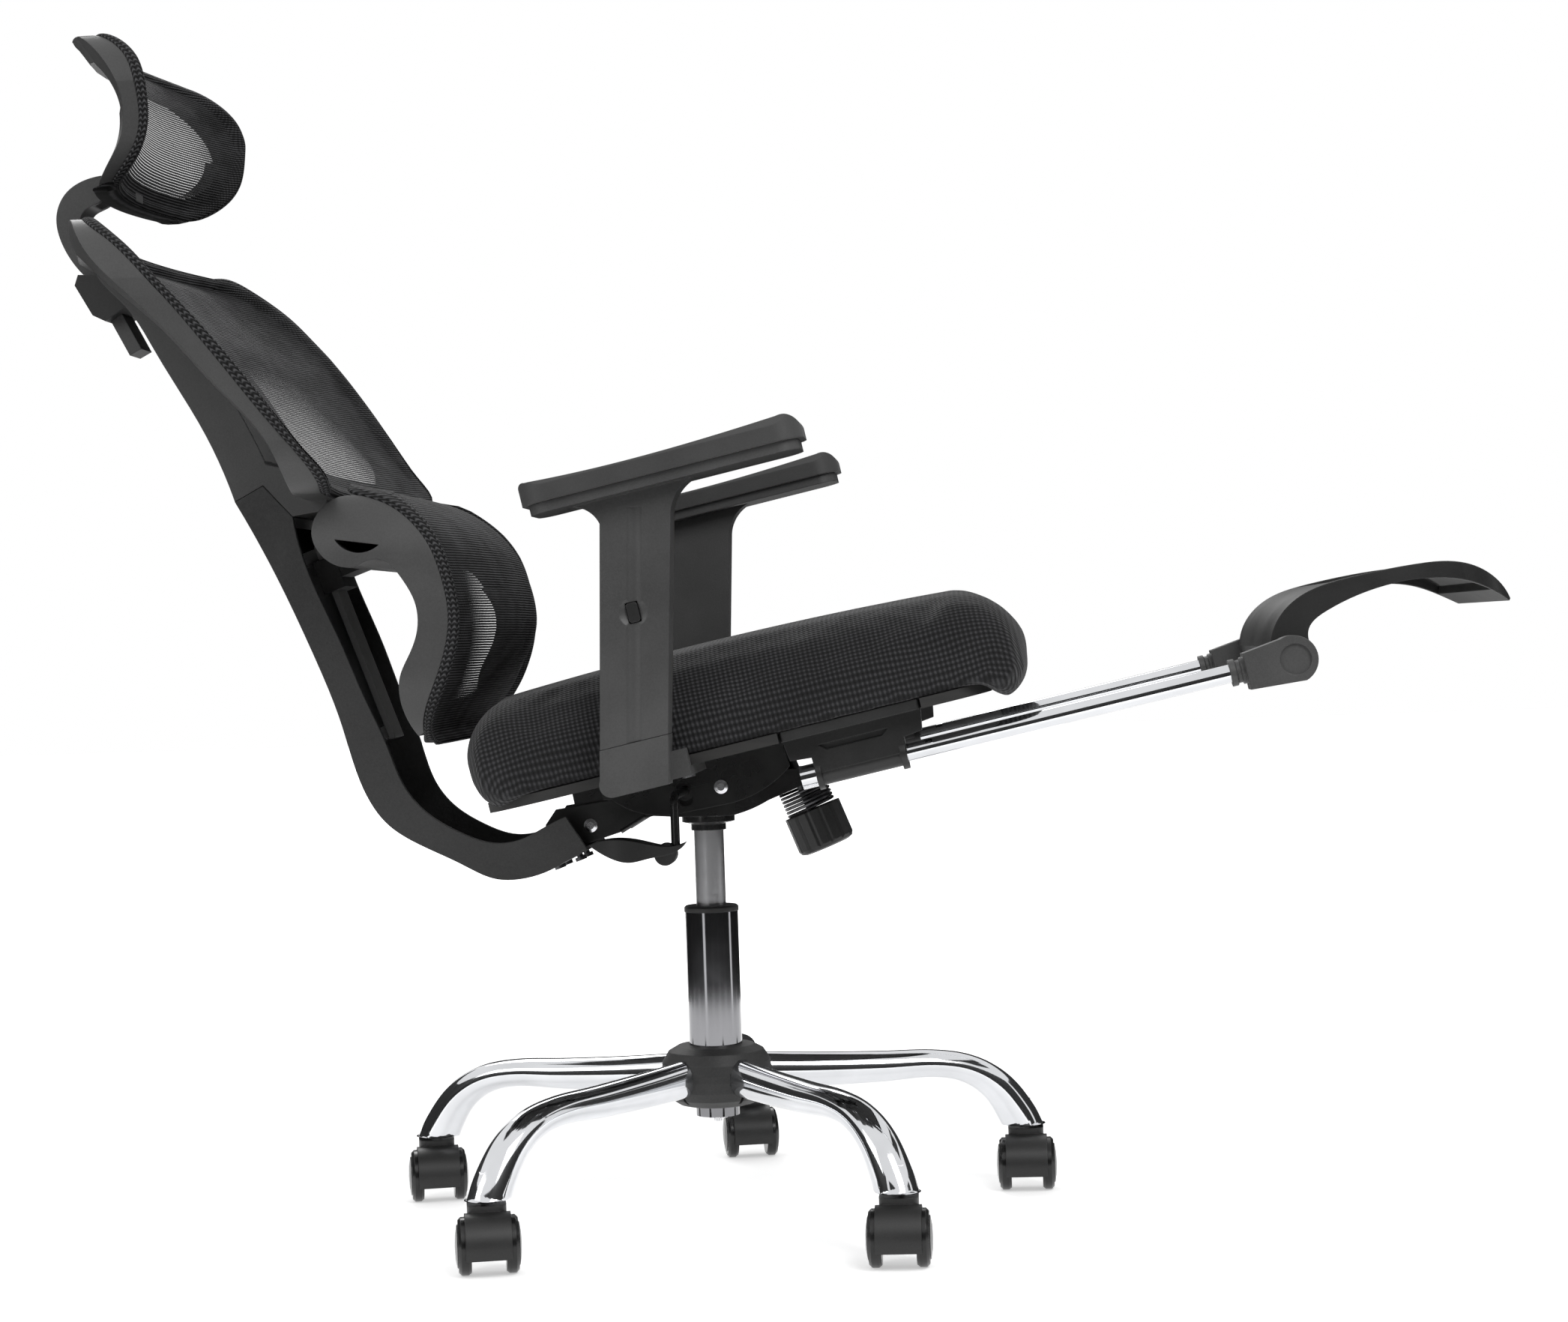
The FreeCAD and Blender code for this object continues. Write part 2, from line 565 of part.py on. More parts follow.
def make_seat_bracket():
    """Boat-shaped side plates under a top plate, with ears for the back hinge."""
    w = SEAT_BRACKET_HALF_WIDTH
    top = BOARD_BOTTOM - PLATE
    boat = side_slab(closed(
        [(-111, top), (-111, 14.1)], [(-111, 14.1), (-103, 12.2)],
        [(-103, 12.2), (-78, -7.0), (-41.1, -15.4)], [(-41.1, -15.4), (0, -17.1)],
        [(0, -17.1), (37, -12.0), (67.5, 3.8)], [(67.5, 3.8), (65, top)]), -w, w)
    boat = boat.cut(box(-150, 150, PLATE - w, w - PLATE, -60, 60))
    boat = boat.cut(side_slab(rounded_rectangle(-42, -28, -10.0, 12.5, 6.5), -60, 0))
    plate = plan_slab(rounded_rectangle(-112, 92, -78, 78, 14), top, BOARD_BOTTOM)
    ear = side_slab(closed(
        [(-108, top), (-139, top)], [(-139, top), (-140, -6)],
        [(-140, -6), (-129, -16.5), (-118, -6)], [(-118, -6), (-108, 8)]),
        EAR_HALF_WIDTH - PLATE, EAR_HALF_WIDTH)
    shelf = box(-147, -100, -EAR_HALF_WIDTH, EAR_HALF_WIDTH, top, BOARD_BOTTOM)
    bracket = boat.fuse(plate).fuse(shelf).fuse(ear).fuse(mirrored(ear))
    bracket = bracket.cut(cross_rod((0, 0), 5, -60, 60))
    bracket = bracket.cut(cross_rod(BACK_HINGE_ON_SEAT, 4.5, -60, 60))
    for x, y, grip in seat_bolt_places():
        if grip == PLATE:
            bracket = bracket.cut(rod(point(x, y, top - 5), point(x, y, BOARD_BOTTOM + 5), 3))
    return on_seat(bracket)


def make_pivot_pins():
    """The tilt pin and the back hinge pin, with rivet heads on both ends."""
    pins = []
    for centre, radius, half_width in (((0, 0), 5.0, SEAT_BRACKET_HALF_WIDTH),
                                       (BACK_HINGE_ON_SEAT, 4.5, BACK_BRACKET_HALF_WIDTH + 0.4)):
        pin = turned_profile(polygon(
            (0, -half_width - 2.4), (3.5, -half_width - 2.4), (6.5, -half_width - 1.2), (6.5, -half_width),
            (radius, -half_width), (radius, half_width), (6.5, half_width), (6.5, half_width + 1.2),
            (3.5, half_width + 2.4), (0, half_width + 2.4)))
        pin.rotate(point(0, 0, 0), point(1, 0, 0), 90)
        pin.translate(point(centre[0], 0, centre[1]))
        pins.append(pin)
    return on_seat(Part.makeCompound(pins))


def seat_bolt_places():
    """X, Y and the thickness held under the board, for each bolt."""
    plate_bolts = [(x, y, PLATE) for x in (-84, 78) for y in (-62, 62)]
    arm_bolts = [(x, side * 165, 8.0) for side in (-1, 1) for x in (-55, -12)]
    return plate_bolts + arm_bolts


def hexagon(x, y, radius):
    """Corners of a hexagon as straight runs."""
    corners = []
    for i in range(6):
        turn = math.radians(i * 60)
        corners.append((x + radius * math.cos(turn), y + radius * math.sin(turn)))
    return polygon(*corners)


def make_seat_bolts():
    bolts = []
    for x, y, grip in seat_bolt_places():
        seat = BOARD_BOTTOM - grip
        shank = rod(point(x, y, seat), point(x, y, BOARD_TOP - 2), 3)
        bolts.append(shank.fuse(plan_slab(hexagon(x, y, 6), seat - 3.5, seat)))
    return on_seat(Part.makeCompound(bolts))


def board_outline():
    """Rounded at the back, nearly square in front."""
    w = BOARD_HALF_WIDTH
    return [
        [(268, -w + 36), (268, w - 36)], [(268, w - 36), (257, w - 11), (232, w)],
        [(232, w), (-120, w)], [(-120, w), (-172, w - 24), (-194, w - 80)],
        [(-194, w - 80), (-210, 0), (-194, -w + 80)],
        [(-194, -w + 80), (-172, -w + 24), (-120, -w)], [(-120, -w), (232, -w)],
        [(232, -w), (257, -w + 11), (268, -w + 36)],
    ]


def seat_board_level():
    board = plan_slab(board_outline(), BOARD_BOTTOM, BOARD_TOP)
    for side in (-1, 1):
        low, high = sorted((side * 184.0, side * 300.0))
        board = board.cut(box(79, 206, low, high, 0, 60))
    for x, y, grip in seat_bolt_places():
        board = board.cut(rod(point(x, y, 20), point(x, y, BOARD_TOP - 2), 3))
    return board


def make_seat_board():
    return on_seat(seat_board_level())


def cushion_section(y, rear, front, crown, base, lip):
    """One side-view slice of the cushion: rolled rear, crowned top, rolled front lip."""
    rise = crown - base
    drop = crown - lip
    runs = [
        [(rear + 24, base), (rear, base + 0.45 * rise), (rear + 44, crown - 0.05 * rise)],
        [(rear + 44, crown - 0.05 * rise), ((rear + front) / 2, crown), (front - 56, crown - 0.07 * drop)],
        [(front - 56, crown - 0.07 * drop), (front - 9, crown - 0.3 * drop), (front, crown - 0.58 * drop)],
        [(front, crown - 0.58 * drop), (front - 7, lip + 0.12 * drop), (front - 24, lip)],
        [(front - 24, lip), (front - 44, base)],
        [(front - 44, base), (rear + 24, base)],
    ]
    return outline_wire(runs, lambda a, b: point(a, y, b))


def cushion_level():
    """Ruled skin across the seat: full in the middle, drawn in and thinner at both sides."""
    w = CUSHION_HALF_WIDTH
    half = [
        (1.0, -176, 284, 98, 52, 48),
        (0.97, -186, 296, 113, 41, 32),
        (0.88, -199, 303, 122, 32, 22),
        (0.60, -214, 306, 127, 32, 20),
    ]
    sections = [cushion_section(-w * s, rear, front, crown, base, lip) for s, rear, front, crown, base, lip in half]
    sections.append(cushion_section(0, -234, 306, 130, 32, 20))
    sections += [cushion_section(w * s, rear, front, crown, base, lip) for s, rear, front, crown, base, lip in half[::-1]]
    cushion = Part.makeLoft(sections, True, True)
    board_room = plan_slab(board_outline(), 0, BOARD_TOP).fuse(box(-150, 269, -300, 300, 0, BOARD_TOP))
    return cushion.cut(board_room)


def make_seat_cushion():
    return on_seat(cushion_level())


# Armrests, built level about the tilt pin

def arm_shift(height):
    """How far forward the leaning stem is at a height above its seam."""
    return (height - 61.0) * math.tan(math.radians(ARM_LEAN))


def make_arm_base(side):
    """Bracket under the board, a short sleeve and the flat post inside the stem."""
    y_low, y_high = ARM_CENTRE - ARM_STEM_HALF_DEPTH, ARM_CENTRE + ARM_STEM_HALF_DEPTH
    sleeve = side_slab(closed(
        [(-68, 61), (-74, 36)], [(-74, 36), (-74.5, 25), (-65.6, 19.4)],
        [(-65.6, 19.4), (-17, 19.4)], [(-17, 19.4), (-7, 61)]), y_low, y_high)
    arm = box(-70, 2, 140, ARM_CENTRE - 5, BOARD_BOTTOM - 8, BOARD_BOTTOM)
    gusset = box(-60, 2, BOARD_HALF_WIDTH + 12, ARM_CENTRE - 5, BOARD_BOTTOM - 8, 46)
    gusset = gusset.cut(box(-80, 20, 0, 248, BOARD_BOTTOM, 60))
    post = side_slab(polygon(
        (-60, 50), (-18, 50), (-18 + arm_shift(210), 210), (-60 + arm_shift(210), 210)),
        ARM_CENTRE - 5, ARM_CENTRE + 5)
    base = sleeve.fuse(arm).fuse(gusset).fuse(post)
    for x, y, grip in seat_bolt_places():
        if y > 0:
            base = base.cut(rod(point(x, y, 10), point(x, y, BOARD_BOTTOM + 1), 3))
    return on_seat(base if side > 0 else mirrored(base))


def arm_stem_level():
    """Leaning stem that flares into the tray under the pad, hollow for the post."""
    y_low, y_high = ARM_CENTRE - ARM_STEM_HALF_DEPTH, ARM_CENTRE + ARM_STEM_HALF_DEPTH
    stem = side_slab(closed(
        [(-67.6, 61.4), (-21.3, 249.2)], [(-21.3, 249.2), (-31.5, 264.5), (-50, 269)],
        [(-50, 269), (-50, 272)], [(-50, 272), (66, 272)], [(66, 272), (66, 269)],
        [(66, 269), (49.5, 259.5), (39.5, 241)],
        [(39.5, 241), (-7.2, 61.4)]), y_low, y_high)
    tray = plan_slab(rounded_rectangle(-76, 161, ARM_CENTRE - 37, ARM_CENTRE + 37, 18), 269, 278)
    pocket = side_slab(polygon(
        (-64 + arm_shift(40), 40), (-14 + arm_shift(40), 40),
        (-17.4 + arm_shift(245), 245), (-60.6 + arm_shift(245), 245)),
        ARM_CENTRE - 5.4, ARM_CENTRE + 5.4)
    way = point(math.tan(math.radians(ARM_LEAN)), 0, 1)
    start = point(-37.5, y_high + 7.5, 61)
    groove = rod(start - way * 10, start + way * 195, 10)
    cheek = y_high + 20.5
    lens = Part.makeSphere(24, point(ARM_BUTTON[0], cheek, ARM_BUTTON[1]))
    button_x, button_z = ARM_BUTTON
    hole = box(button_x - 5.4, button_x + 5.4, ARM_CENTRE, y_high + 5, button_z - 8.9, button_z + 8.9)
    return stem.fuse(tray).cut(pocket).cut(groove).cut(lens).cut(hole)


def make_arm_stem(side):
    stem = arm_stem_level()
    return on_seat(stem if side > 0 else mirrored(stem))


def make_arm_pad(side):
    """Soft pad with rounded ends and a softened top edge."""
    pad = side_slab(closed(
        [(-81.6, 278), (-81.6, 290)], [(-81.6, 290), (-80, 295.5), (-73, 297)],
        [(-73, 297), (-20, 294.5), (60, 295), (148, 299.6)],
        [(148, 299.6), (160, 297.5), (166, 288)], [(166, 288), (166, 278)]),
        ARM_CENTRE - ARM_PAD_HALF_WIDTH, ARM_CENTRE + ARM_PAD_HALF_WIDTH)
    w = ARM_PAD_HALF_WIDTH
    pad = pad.common(plan_slab(rounded_rectangle(-81.6, 166, ARM_CENTRE - w, ARM_CENTRE + w, 24), 270, 310))
    for y_edge in (ARM_CENTRE - w, ARM_CENTRE + w):
        inward = 1 if y_edge < ARM_CENTRE else -1
        bevel = front_slab(polygon((y_edge - inward, 291), (y_edge + 8 * inward, 305), (y_edge - inward, 305)), -100, 200)
        pad = pad.cut(bevel)
    return on_seat(pad if side > 0 else mirrored(pad))


def make_arm_button(side):
    """Height button in the outer face of the stem."""
    y_face = ARM_CENTRE + ARM_STEM_HALF_DEPTH - 2.4
    runs = rounded_rectangle(ARM_BUTTON[0] - 5, ARM_BUTTON[0] + 5, ARM_BUTTON[1] - 8.5, ARM_BUTTON[1] + 8.5, 2.5)
    button = side_slab(runs, y_face - 4.0, y_face + 1.8)
    return on_seat(button if side > 0 else mirrored(button))


# Footrest, built level about the tilt pin

def make_footrest_guides():
    """Two plastic guides bolted into the board's notches, each with a flanged barrel."""
    y = TUBE_SPACING
    top = plan_slab(rounded_rectangle(80.5, 204.5, y - 13, y + 34, 3), BOARD_BOTTOM, BOARD_TOP)
    side_view = polygon(
        (80, 30), (204, 30), (200.5, 11), (184, 9), (184, -4), (102, -4), (101.5, 10.5), (82.5, 12))
    block = side_slab(side_view, y - 12, y + 12)
    barrel = x_rod(102, 182, y, TUBE_LEVEL, 10.6)
    for x_low, x_high in ((102, 107), (177.5, 183)):
        barrel = barrel.fuse(x_rod(x_low, x_high, y, TUBE_LEVEL, 14.0))
    guide = top.fuse(block).fuse(barrel)
    guide = guide.cut(side_slab(polygon((110, 20), (172, 20), (166, 15), (116, 15)), y + 9.5, y + 20))
    guide = guide.cut(x_rod(60, 220, y, TUBE_LEVEL, TUBE_RADIUS + RUNNING_FIT))
    return on_seat(both_sides(guide))


def make_footrest_tubes():
    """Two chromed tubes with stop collars at their hidden ends, joined by a cross rod."""
    y = TUBE_SPACING
    tube = x_rod(88, 505, y, TUBE_LEVEL, TUBE_RADIUS).cut(x_rod(80, 510, y, TUBE_LEVEL, TUBE_RADIUS - 1.5))
    collar = x_rod(88, 101.5, y, TUBE_LEVEL, TUBE_RADIUS + 2.5).cut(x_rod(80, 110, y, TUBE_LEVEL, TUBE_RADIUS))
    return on_seat(both_sides(tube.fuse(collar)))


def make_footrest_knuckles():
    """Plastic end blocks on the tubes that carry the pad's pivot."""
    y = TUBE_SPACING
    block = side_slab(closed(
        [(485, 9.5), (519, 13.8)], [(519, 13.8), (546.8, -0.8), (533, -25.8)],
        [(533, -25.8), (485, -22.5)]), y - 17.5, y + 15.5)
    block = block.cut(x_rod(470, 505, y, TUBE_LEVEL, TUBE_RADIUS))
    block = block.cut(cross_rod(FOOTREST_PIVOT, 13.5, y + 13.5, y + 20))
    block = block.cut(cross_rod(FOOTREST_PIVOT, 6, y - 20, y + 4))
    return on_seat(both_sides(block))


def make_tube_boots():
    """Ribbed rubber collars where the tubes enter the end blocks."""
    y = TUBE_SPACING
    boot = turned_profile(polygon(
        (TUBE_RADIUS, 0), (11.8, 0), (11.8, 5), (10, 6), (10, 9), (11.8, 10), (11.8, 13.5), (TUBE_RADIUS, 13.5)))
    boot.rotate(point(0, 0, 0), point(0, 1, 0), 90)
    boot.translate(point(471.5, y, TUBE_LEVEL))
    return on_seat(both_sides(boot))


def make_footrest_pins():
    """Pins from the end blocks into the pad's root."""
    return on_seat(both_sides(cross_rod(FOOTREST_PIVOT, 6, TUBE_SPACING - 40, TUBE_SPACING + 4)))


def make_footrest_pad():
    """Curved dished shell: a deep root round the pivot, then a long wing for the feet."""
    w = FOOTREST_HALF_WIDTH
    top = [(513, 8.0), (519.4, 23.6), (534.6, 38.6), (552.8, 46.9), (588.3, 50.9), (622.8, 50.4),
           (656.7, 48.2), (678.8, 44.6), (699.6, 35.9), (716.6, 21.3), (729, -1.0)]
    under = [(726.6, -2.6), (713.6, 9.2), (692.0, 23.9), (664.5, 33.1), (630.9, 36.7), (598.1, 34.4),
             (568.9, 27.7), (550.9, 18.5), (547.0, 2.0)]
    shell = side_slab(closed(top, [top[-1], under[0]], under, [under[-1], (535, -22), (514, -17)]), -w, w)
    plan = plan_slab(closed(
        [(500, w), (690, w)], [(690, w), (719, w - 16), (731, w - 50)],
        [(731, w - 50), (731, 50 - w)], [(731, 50 - w), (719, 16 - w), (690, -w)],
        [(690, -w), (500, -w)]), -60, 80)
    shell = shell.common(plan)
    inside_top = offset_curve(top[2:-1], 4.0)
    dish = side_slab(closed(
        inside_top, [inside_top[-1], (700, -20)], [(700, -20), (560, -20)],
        [(560, -20), (545, 30)]), -w + 16, w - 16)
    shell = shell.cut(dish)
    tread = side_slab(closed(
        [(560, 60), (588.3, 48.6), (622.8, 48.0), (656.7, 45.8), (678.8, 42.0)],
        [(678.8, 42.0), (690, 60)]), -w + 30, w - 30)
    shell = shell.cut(tread)
    shell = shell.cut(cross_rod(FOOTREST_PIVOT, 6 + RUNNING_FIT, TUBE_SPACING - 41, w + 5))
    shell = shell.cut(cross_rod(FOOTREST_PIVOT, 6 + RUNNING_FIT, -w - 5, 41 - TUBE_SPACING))
    return on_seat(shell)


# Backrest, in its reclined place

CHANNEL_REAR = [(-419.6, 682), (-388, 622), (-351.5, 536), (-330.5, 474), (-309.5, 402), (-294, 379),
                (-271, 362), (-226, 339), (-195, 324.5), (-172, 323.5), (-130, 338)]


def channel_front_view(inset):
    """Front-view outline of the J-shaped channel: wide at the waist, narrow at the hinge."""
    left = [(97 - inset, 720), (97 - inset, 640)]
    curve = [(97 - inset, 640), (88 - inset, 520), (74 - inset, 420), (62 - inset, 340), (62 - inset, 300)]
    right = [(-a, b) for a, b in curve[::-1]]
    return closed(left, curve, [curve[-1], right[0]], right, [right[-1], (inset - 97, 720)])


def make_back_frame_lower():
    """J-shaped channel, open to the front, from the hinge bracket up to the waist."""
    front = [(-126, 381), (-144, 373), (-170.5, 360.5), (-194, 358), (-226, 369), (-255, 387.5), (-274, 411),
             (-290, 455), (-307, 497), (-325.5, 547), (-353, 614), (-366, 666.5)]
    body = side_slab([CHANNEL_REAR, [CHANNEL_REAR[-1], (-107, 349)], [(-107, 349), (-126, 381)], front,
                      [front[-1], (-393, 696)], [(-393, 696), CHANNEL_REAR[0]]], -110, 110)
    body = body.common(front_slab(channel_front_view(0), -500, -50))
    floor = offset_curve(CHANNEL_REAR, -CHANNEL_WALL)
    hollow = side_slab([floor, [floor[-1], (-90, 360)], [(-90, 360), (-90, 700)], [(-90, 700), (-374, 700)],
                        [(-374, 700), floor[0]]], -110, 110)
    hollow = hollow.common(front_slab(channel_front_view(CHANNEL_WALL), -500, -50))
    body = body.cut(hollow)
    head = side_slab(polygon((-400, 676), (-372, 658), (-366, 666.5), (-393, 696), (-412, 684)), -92, 92)
    frame = body.fuse(head)
    for start, way in back_bolt_lines():
        frame = frame.cut(rod(start, start + way * 13, 3)).cut(rod(start - way * 20, start, 5.5))
    return frame


def make_back_bracket():
    """Steel channel with rolled lips that joins the J-frame to both pins."""
    w = BACK_BRACKET_HALF_WIDTH
    shell = side_slab(closed(
        [(-150, 372), (-140, 386)], [(-140, 386), (-89.5, 393.1)], [(-89.5, 393.1), (-63.6, 397)],
        [(-63.6, 397), (-44, 396.5)], [(-44, 396.5), (-36.5, 387), (-44, 378)],
        [(-44, 378), (-64, 374)], [(-64, 374), (-79.4, 363)],
        [(-79.4, 363), (-104, 355.4)], [(-104, 355.4), (-152, 338)]), -w, w)
    hollow = side_slab(closed(
        [(-160, 410), (-160, 337.8)], [(-160, 337.8), (-104, 358)], [(-104, 358), (-79.4, 365.8)],
        [(-79.4, 365.8), (-72, 371)], [(-72, 371), (-72, 345)], [(-72, 345), (-20, 345)],
        [(-20, 345), (-20, 410)]), PLATE - w, w - PLATE)
    lip = bracket_lips()
    bracket = shell.cut(hollow).fuse(lip)
    bracket = bracket.cut(cross_rod(BACK_HINGE, 4.5 + RUNNING_FIT, -60, 60))
    for start, way in back_bolt_lines():
        bracket = bracket.cut(rod(start - way * 10, start + way * 13, 3))
    return bracket.cut(cross_rod(LINK_PIN, 4.0, -60, 60))


def bracket_lips():
    """Rolled edge along the bottom front corner of each side of the back bracket."""
    w = BACK_BRACKET_HALF_WIDTH
    edge = rod(point(-79, w - 1.3, 363.6), point(-56, w - 1.3, 377.0), 2.2)
    return edge.fuse(mirrored(edge))


def make_link_pin():
    """Pin of the back bracket that slides in the housing's slot."""
    return cross_rod(LINK_PIN, 4.0, -BACK_BRACKET_HALF_WIDTH - 0.8, BACK_BRACKET_HALF_WIDTH + 0.8)


def back_bolt_lines():
    """Start of each bolt on the underside of the J-frame's end, and the way it points."""
    way = point(-0.34, 0, 0.94)
    return [(point(-140 + 20 * along, y, 333.2 + 7.2 * along), way) for along in (0, 1) for y in (-22, 22)]


def make_back_bolts():
    """Four bolts under the end of the J-frame, up through the steel bracket."""
    bolts = []
    for start, way in back_bolt_lines():
        bolts.append(rod(start, start + way * 13, 3).fuse(rod(start - way * 3.5, start, 5.5)))
    return Part.makeCompound(bolts)


# Side curves at the widest part of the mesh frame, from top to bottom.
RING_FRONT = [(-490, 937), (-485, 920), (-470, 903.7), (-444.4, 872.8), (-415, 839.7), (-378.6, 796),
              (-344, 751.3), (-311, 709.9), (-298, 687), (-300, 671)]
RING_REAR = [(-320, 671), (-330, 700), (-342, 727.6), (-381, 774.6), (-421, 820), (-466, 863), (-494, 899),
             (-499, 918), (-496, 937)]
BORDER_FRONT = [(-480, 937), (-472, 920), (-451, 893.7), (-429.6, 866), (-390, 823), (-353, 778), (-310.5, 719),
                (-290, 692), (-291, 671)]


def with_mirror_image(right):
    """Closed runs: a right half from the middle line to the middle line, and its mirror image."""
    return right + [[(-a, b) for a, b in run[::-1]] for run in right[::-1]]


def back_front_view(inset):
    """Front-view outline of the mesh frame: wide shoulders, narrower at the waist."""
    shoulder = BACK_HALF_WIDTH - inset
    waist = BACK_FOOT_HALF_WIDTH - inset
    low = BACK_FOOT_Z + inset
    high = BACK_TOP_Z - inset
    return with_mirror_image([
        [(0, low), (waist - 45, low)],
        [(waist - 45, low), (waist - 13, low + 13), (waist, low + 45)],
        [(waist, low + 45), (shoulder, high - 82)],
        [(shoulder, high - 82), (shoulder - 20, high - 24), (shoulder - 85, high - 5)],
        [(shoulder - 85, high - 5), (0, high)],
    ])


def back_bow(height):
    """How far the middle of the backrest is drawn back at a height."""
    share = (height - BACK_FOOT_Z) / (BACK_TOP_Z - BACK_FOOT_Z)
    return BACK_BOW_AT_FOOT + (BACK_BOW_AT_TOP - BACK_BOW_AT_FOOT) * share


def curved_band(front, rear, half_width, bow):
    """A ruled band between two side curves, drawn back from its sides to its middle."""
    sections = []
    for share in (-1.0, -0.75, -0.45, -0.15, 0.15, 0.45, 0.75, 1.0):
        middle = 1 - share * share
        runs = closed([(a - bow(b) * middle, b) for a, b in front],
                      [(a - bow(b) * middle, b) for a, b in (front[-1], rear[0])],
                      [(a - bow(b) * middle, b) for a, b in rear])
        sections.append(outline_wire(runs, lambda a, b, y=share * half_width: point(a, y, b)))
    return Part.makeLoft(sections, True, True)


def spine_front_view(half_widths, low, high):
    """Front-view outline of the spine, which narrows towards the top."""
    foot, waist, chest, top = half_widths
    middle = low + 0.35 * (high - low)
    upper = low + 0.66 * (high - low)
    return with_mirror_image([
        [(0, low), (foot, low)], [(foot, low), (waist, middle), (chest, upper), (top, high)],
        [(top, high), (0, high)]])


def make_back_frame_upper():
    """Moulded mesh frame joined at its top and foot to a channel-shaped spine."""
    ring = curved_band(RING_FRONT, RING_REAR, BACK_HALF_WIDTH, back_bow)
    ring = ring.common(front_slab(back_front_view(0), -700, -200))
    ring = ring.cut(front_slab(back_front_view(BACK_BAR), -700, -200))
    rear = [(-419.6, 682), (-448.5, 749), (-494.5, 825), (-525, 871), (-551, 899), (-558, 917)]
    front = [(-540, 920), (-509, 888), (-470, 846), (-427, 786), (-404, 746), (-390, 716)]
    spine = side_slab([
        rear, [rear[-1], (-555, 925)], [(-555, 925), front[0]], front,
        [front[-1], (-350, 706)], [(-350, 706), (-332, 690)], [(-332, 690), (-334, 672)],
        [(-334, 672), (-366, 667.2)], [(-366, 667.2), (-393, 696.7)], [(-393, 696.7), (-419.6, 682.7)],
        [(-419.6, 682.7), (-419.6, 682)]], -110, 110)
    spine = spine.common(front_slab(spine_front_view((97, 90, 76, 62), 660, 935), -700, -200))
    web = offset_curve(rear[:-1], -CHANNEL_WALL)
    pocket = side_slab(closed(web, [web[-1], (-500, 900)], [(-500, 900), (-340, 760)], [(-340, 760), (-360, 720)],
                              [(-360, 720), (-400, 720)]), -110, 110)
    pocket = pocket.common(front_slab(spine_front_view((90, 84, 70, 57), 720, 893), -700, -200))
    return ring.fuse(spine.cut(pocket))


def bowed_panel(front, thickness, half_width, bow):
    """A thin ruled sheet along a side curve, drawn back from its sides to its middle."""
    rear = [(a - thickness, b) for a, b in front[::-1]]
    return curved_band(front, rear, half_width, bow)


def make_back_mesh(frame):
    """Mesh panel with its knitted border on the front of the frame."""
    border = curved_band(BORDER_FRONT, RING_FRONT[::-1], BACK_HALF_WIDTH, back_bow)
    border = border.common(front_slab(back_front_view(0), -700, -200))
    border = border.cut(front_slab(back_front_view(20), -700, -200))
    sheet = [(a + 4, b) for a, b in RING_FRONT]
    panel = bowed_panel(sheet, 3.0, BACK_HALF_WIDTH, back_bow)
    panel = panel.common(front_slab(back_front_view(19), -700, -200))
    return border.fuse(panel).cut(frame)


def lumbar_front_view(inset, radius, low, high):
    w = LUMBAR_HALF_WIDTH - inset
    return rounded_rectangle(-w, w, low, high, radius)


LUMBAR_TRIM = [(-292, 689), (-264, 684), (-231, 663), (-209.5, 636), (-199, 607), (-193, 571), (-196, 543),
               (-204, 518), (-211, 502), (-223, 480), (-228, 463), (-224, 458)]
LUMBAR_FRONT = [(-293.6, 680), (-268, 675.5), (-237, 656), (-217.5, 631.5), (-207.7, 605), (-202, 571), (-205, 545),
                (-212.5, 521), (-219, 506), (-229, 484), (-234, 466)]
LUMBAR_BACK = [(-240, 463), (-245, 477), (-249, 503), (-247, 517), (-238, 536), (-230, 558), (-231, 581),
               (-242, 603), (-255, 618), (-281, 616)]


def make_lumbar_frame():
    """Curved loop round the lumbar mesh with two hollow arms that reach back to the slider."""
    front = LUMBAR_FRONT
    top = [(-281, 616), (-309, 622), (-323, 648), (-313, 673), front[0]]
    band = side_slab([front, [front[-1], LUMBAR_BACK[0]], LUMBAR_BACK, top], -230, 230)
    loop = band.common(front_slab(lumbar_front_view(0, 74, 455, 692), -500, -100))
    inner = LUMBAR_HALF_WIDTH - 24
    window = front_slab(rounded_rectangle(-inner, inner, 480, 612, 56), -500, -100)
    scoop = side_slab(polygon((-262, 600), (-275, 662), (-200, 662), (-200, 600)), -inner, inner)
    crescent = side_slab(closed([(-302, 640), (-285, 628), (-262, 634)], [(-262, 634), (-302, 640)]), -260, 260)
    frame = loop.cut(window).cut(scoop).cut(crescent)
    reach = side_slab(polygon((-322, 646), (-306, 624), (-283, 618), (-283, 646)), -34, 34)
    return frame.fuse(reach)


def make_lumbar_mesh(frame):
    """Mesh panel and knitted border in front of the lumbar loop."""
    border = side_slab(closed(LUMBAR_TRIM, [LUMBAR_TRIM[-1], LUMBAR_FRONT[-1]], LUMBAR_FRONT[::-1]), -230, 230)
    border = border.common(front_slab(lumbar_front_view(0, 74, 455, 692), -500, -100))
    border = border.cut(front_slab(lumbar_front_view(14, 60, 472, 674), -500, -100))
    sheet = [(a - 5, b) for a, b in LUMBAR_TRIM]
    panel = bowed_panel(sheet, 2.8, LUMBAR_HALF_WIDTH - 13, lambda height: 9.0)
    return border.fuse(panel.common(front_slab(lumbar_front_view(13, 60, 471, 675), -500, -100))).cut(frame)


RAIL_WAY = (-0.34, 0.9404)


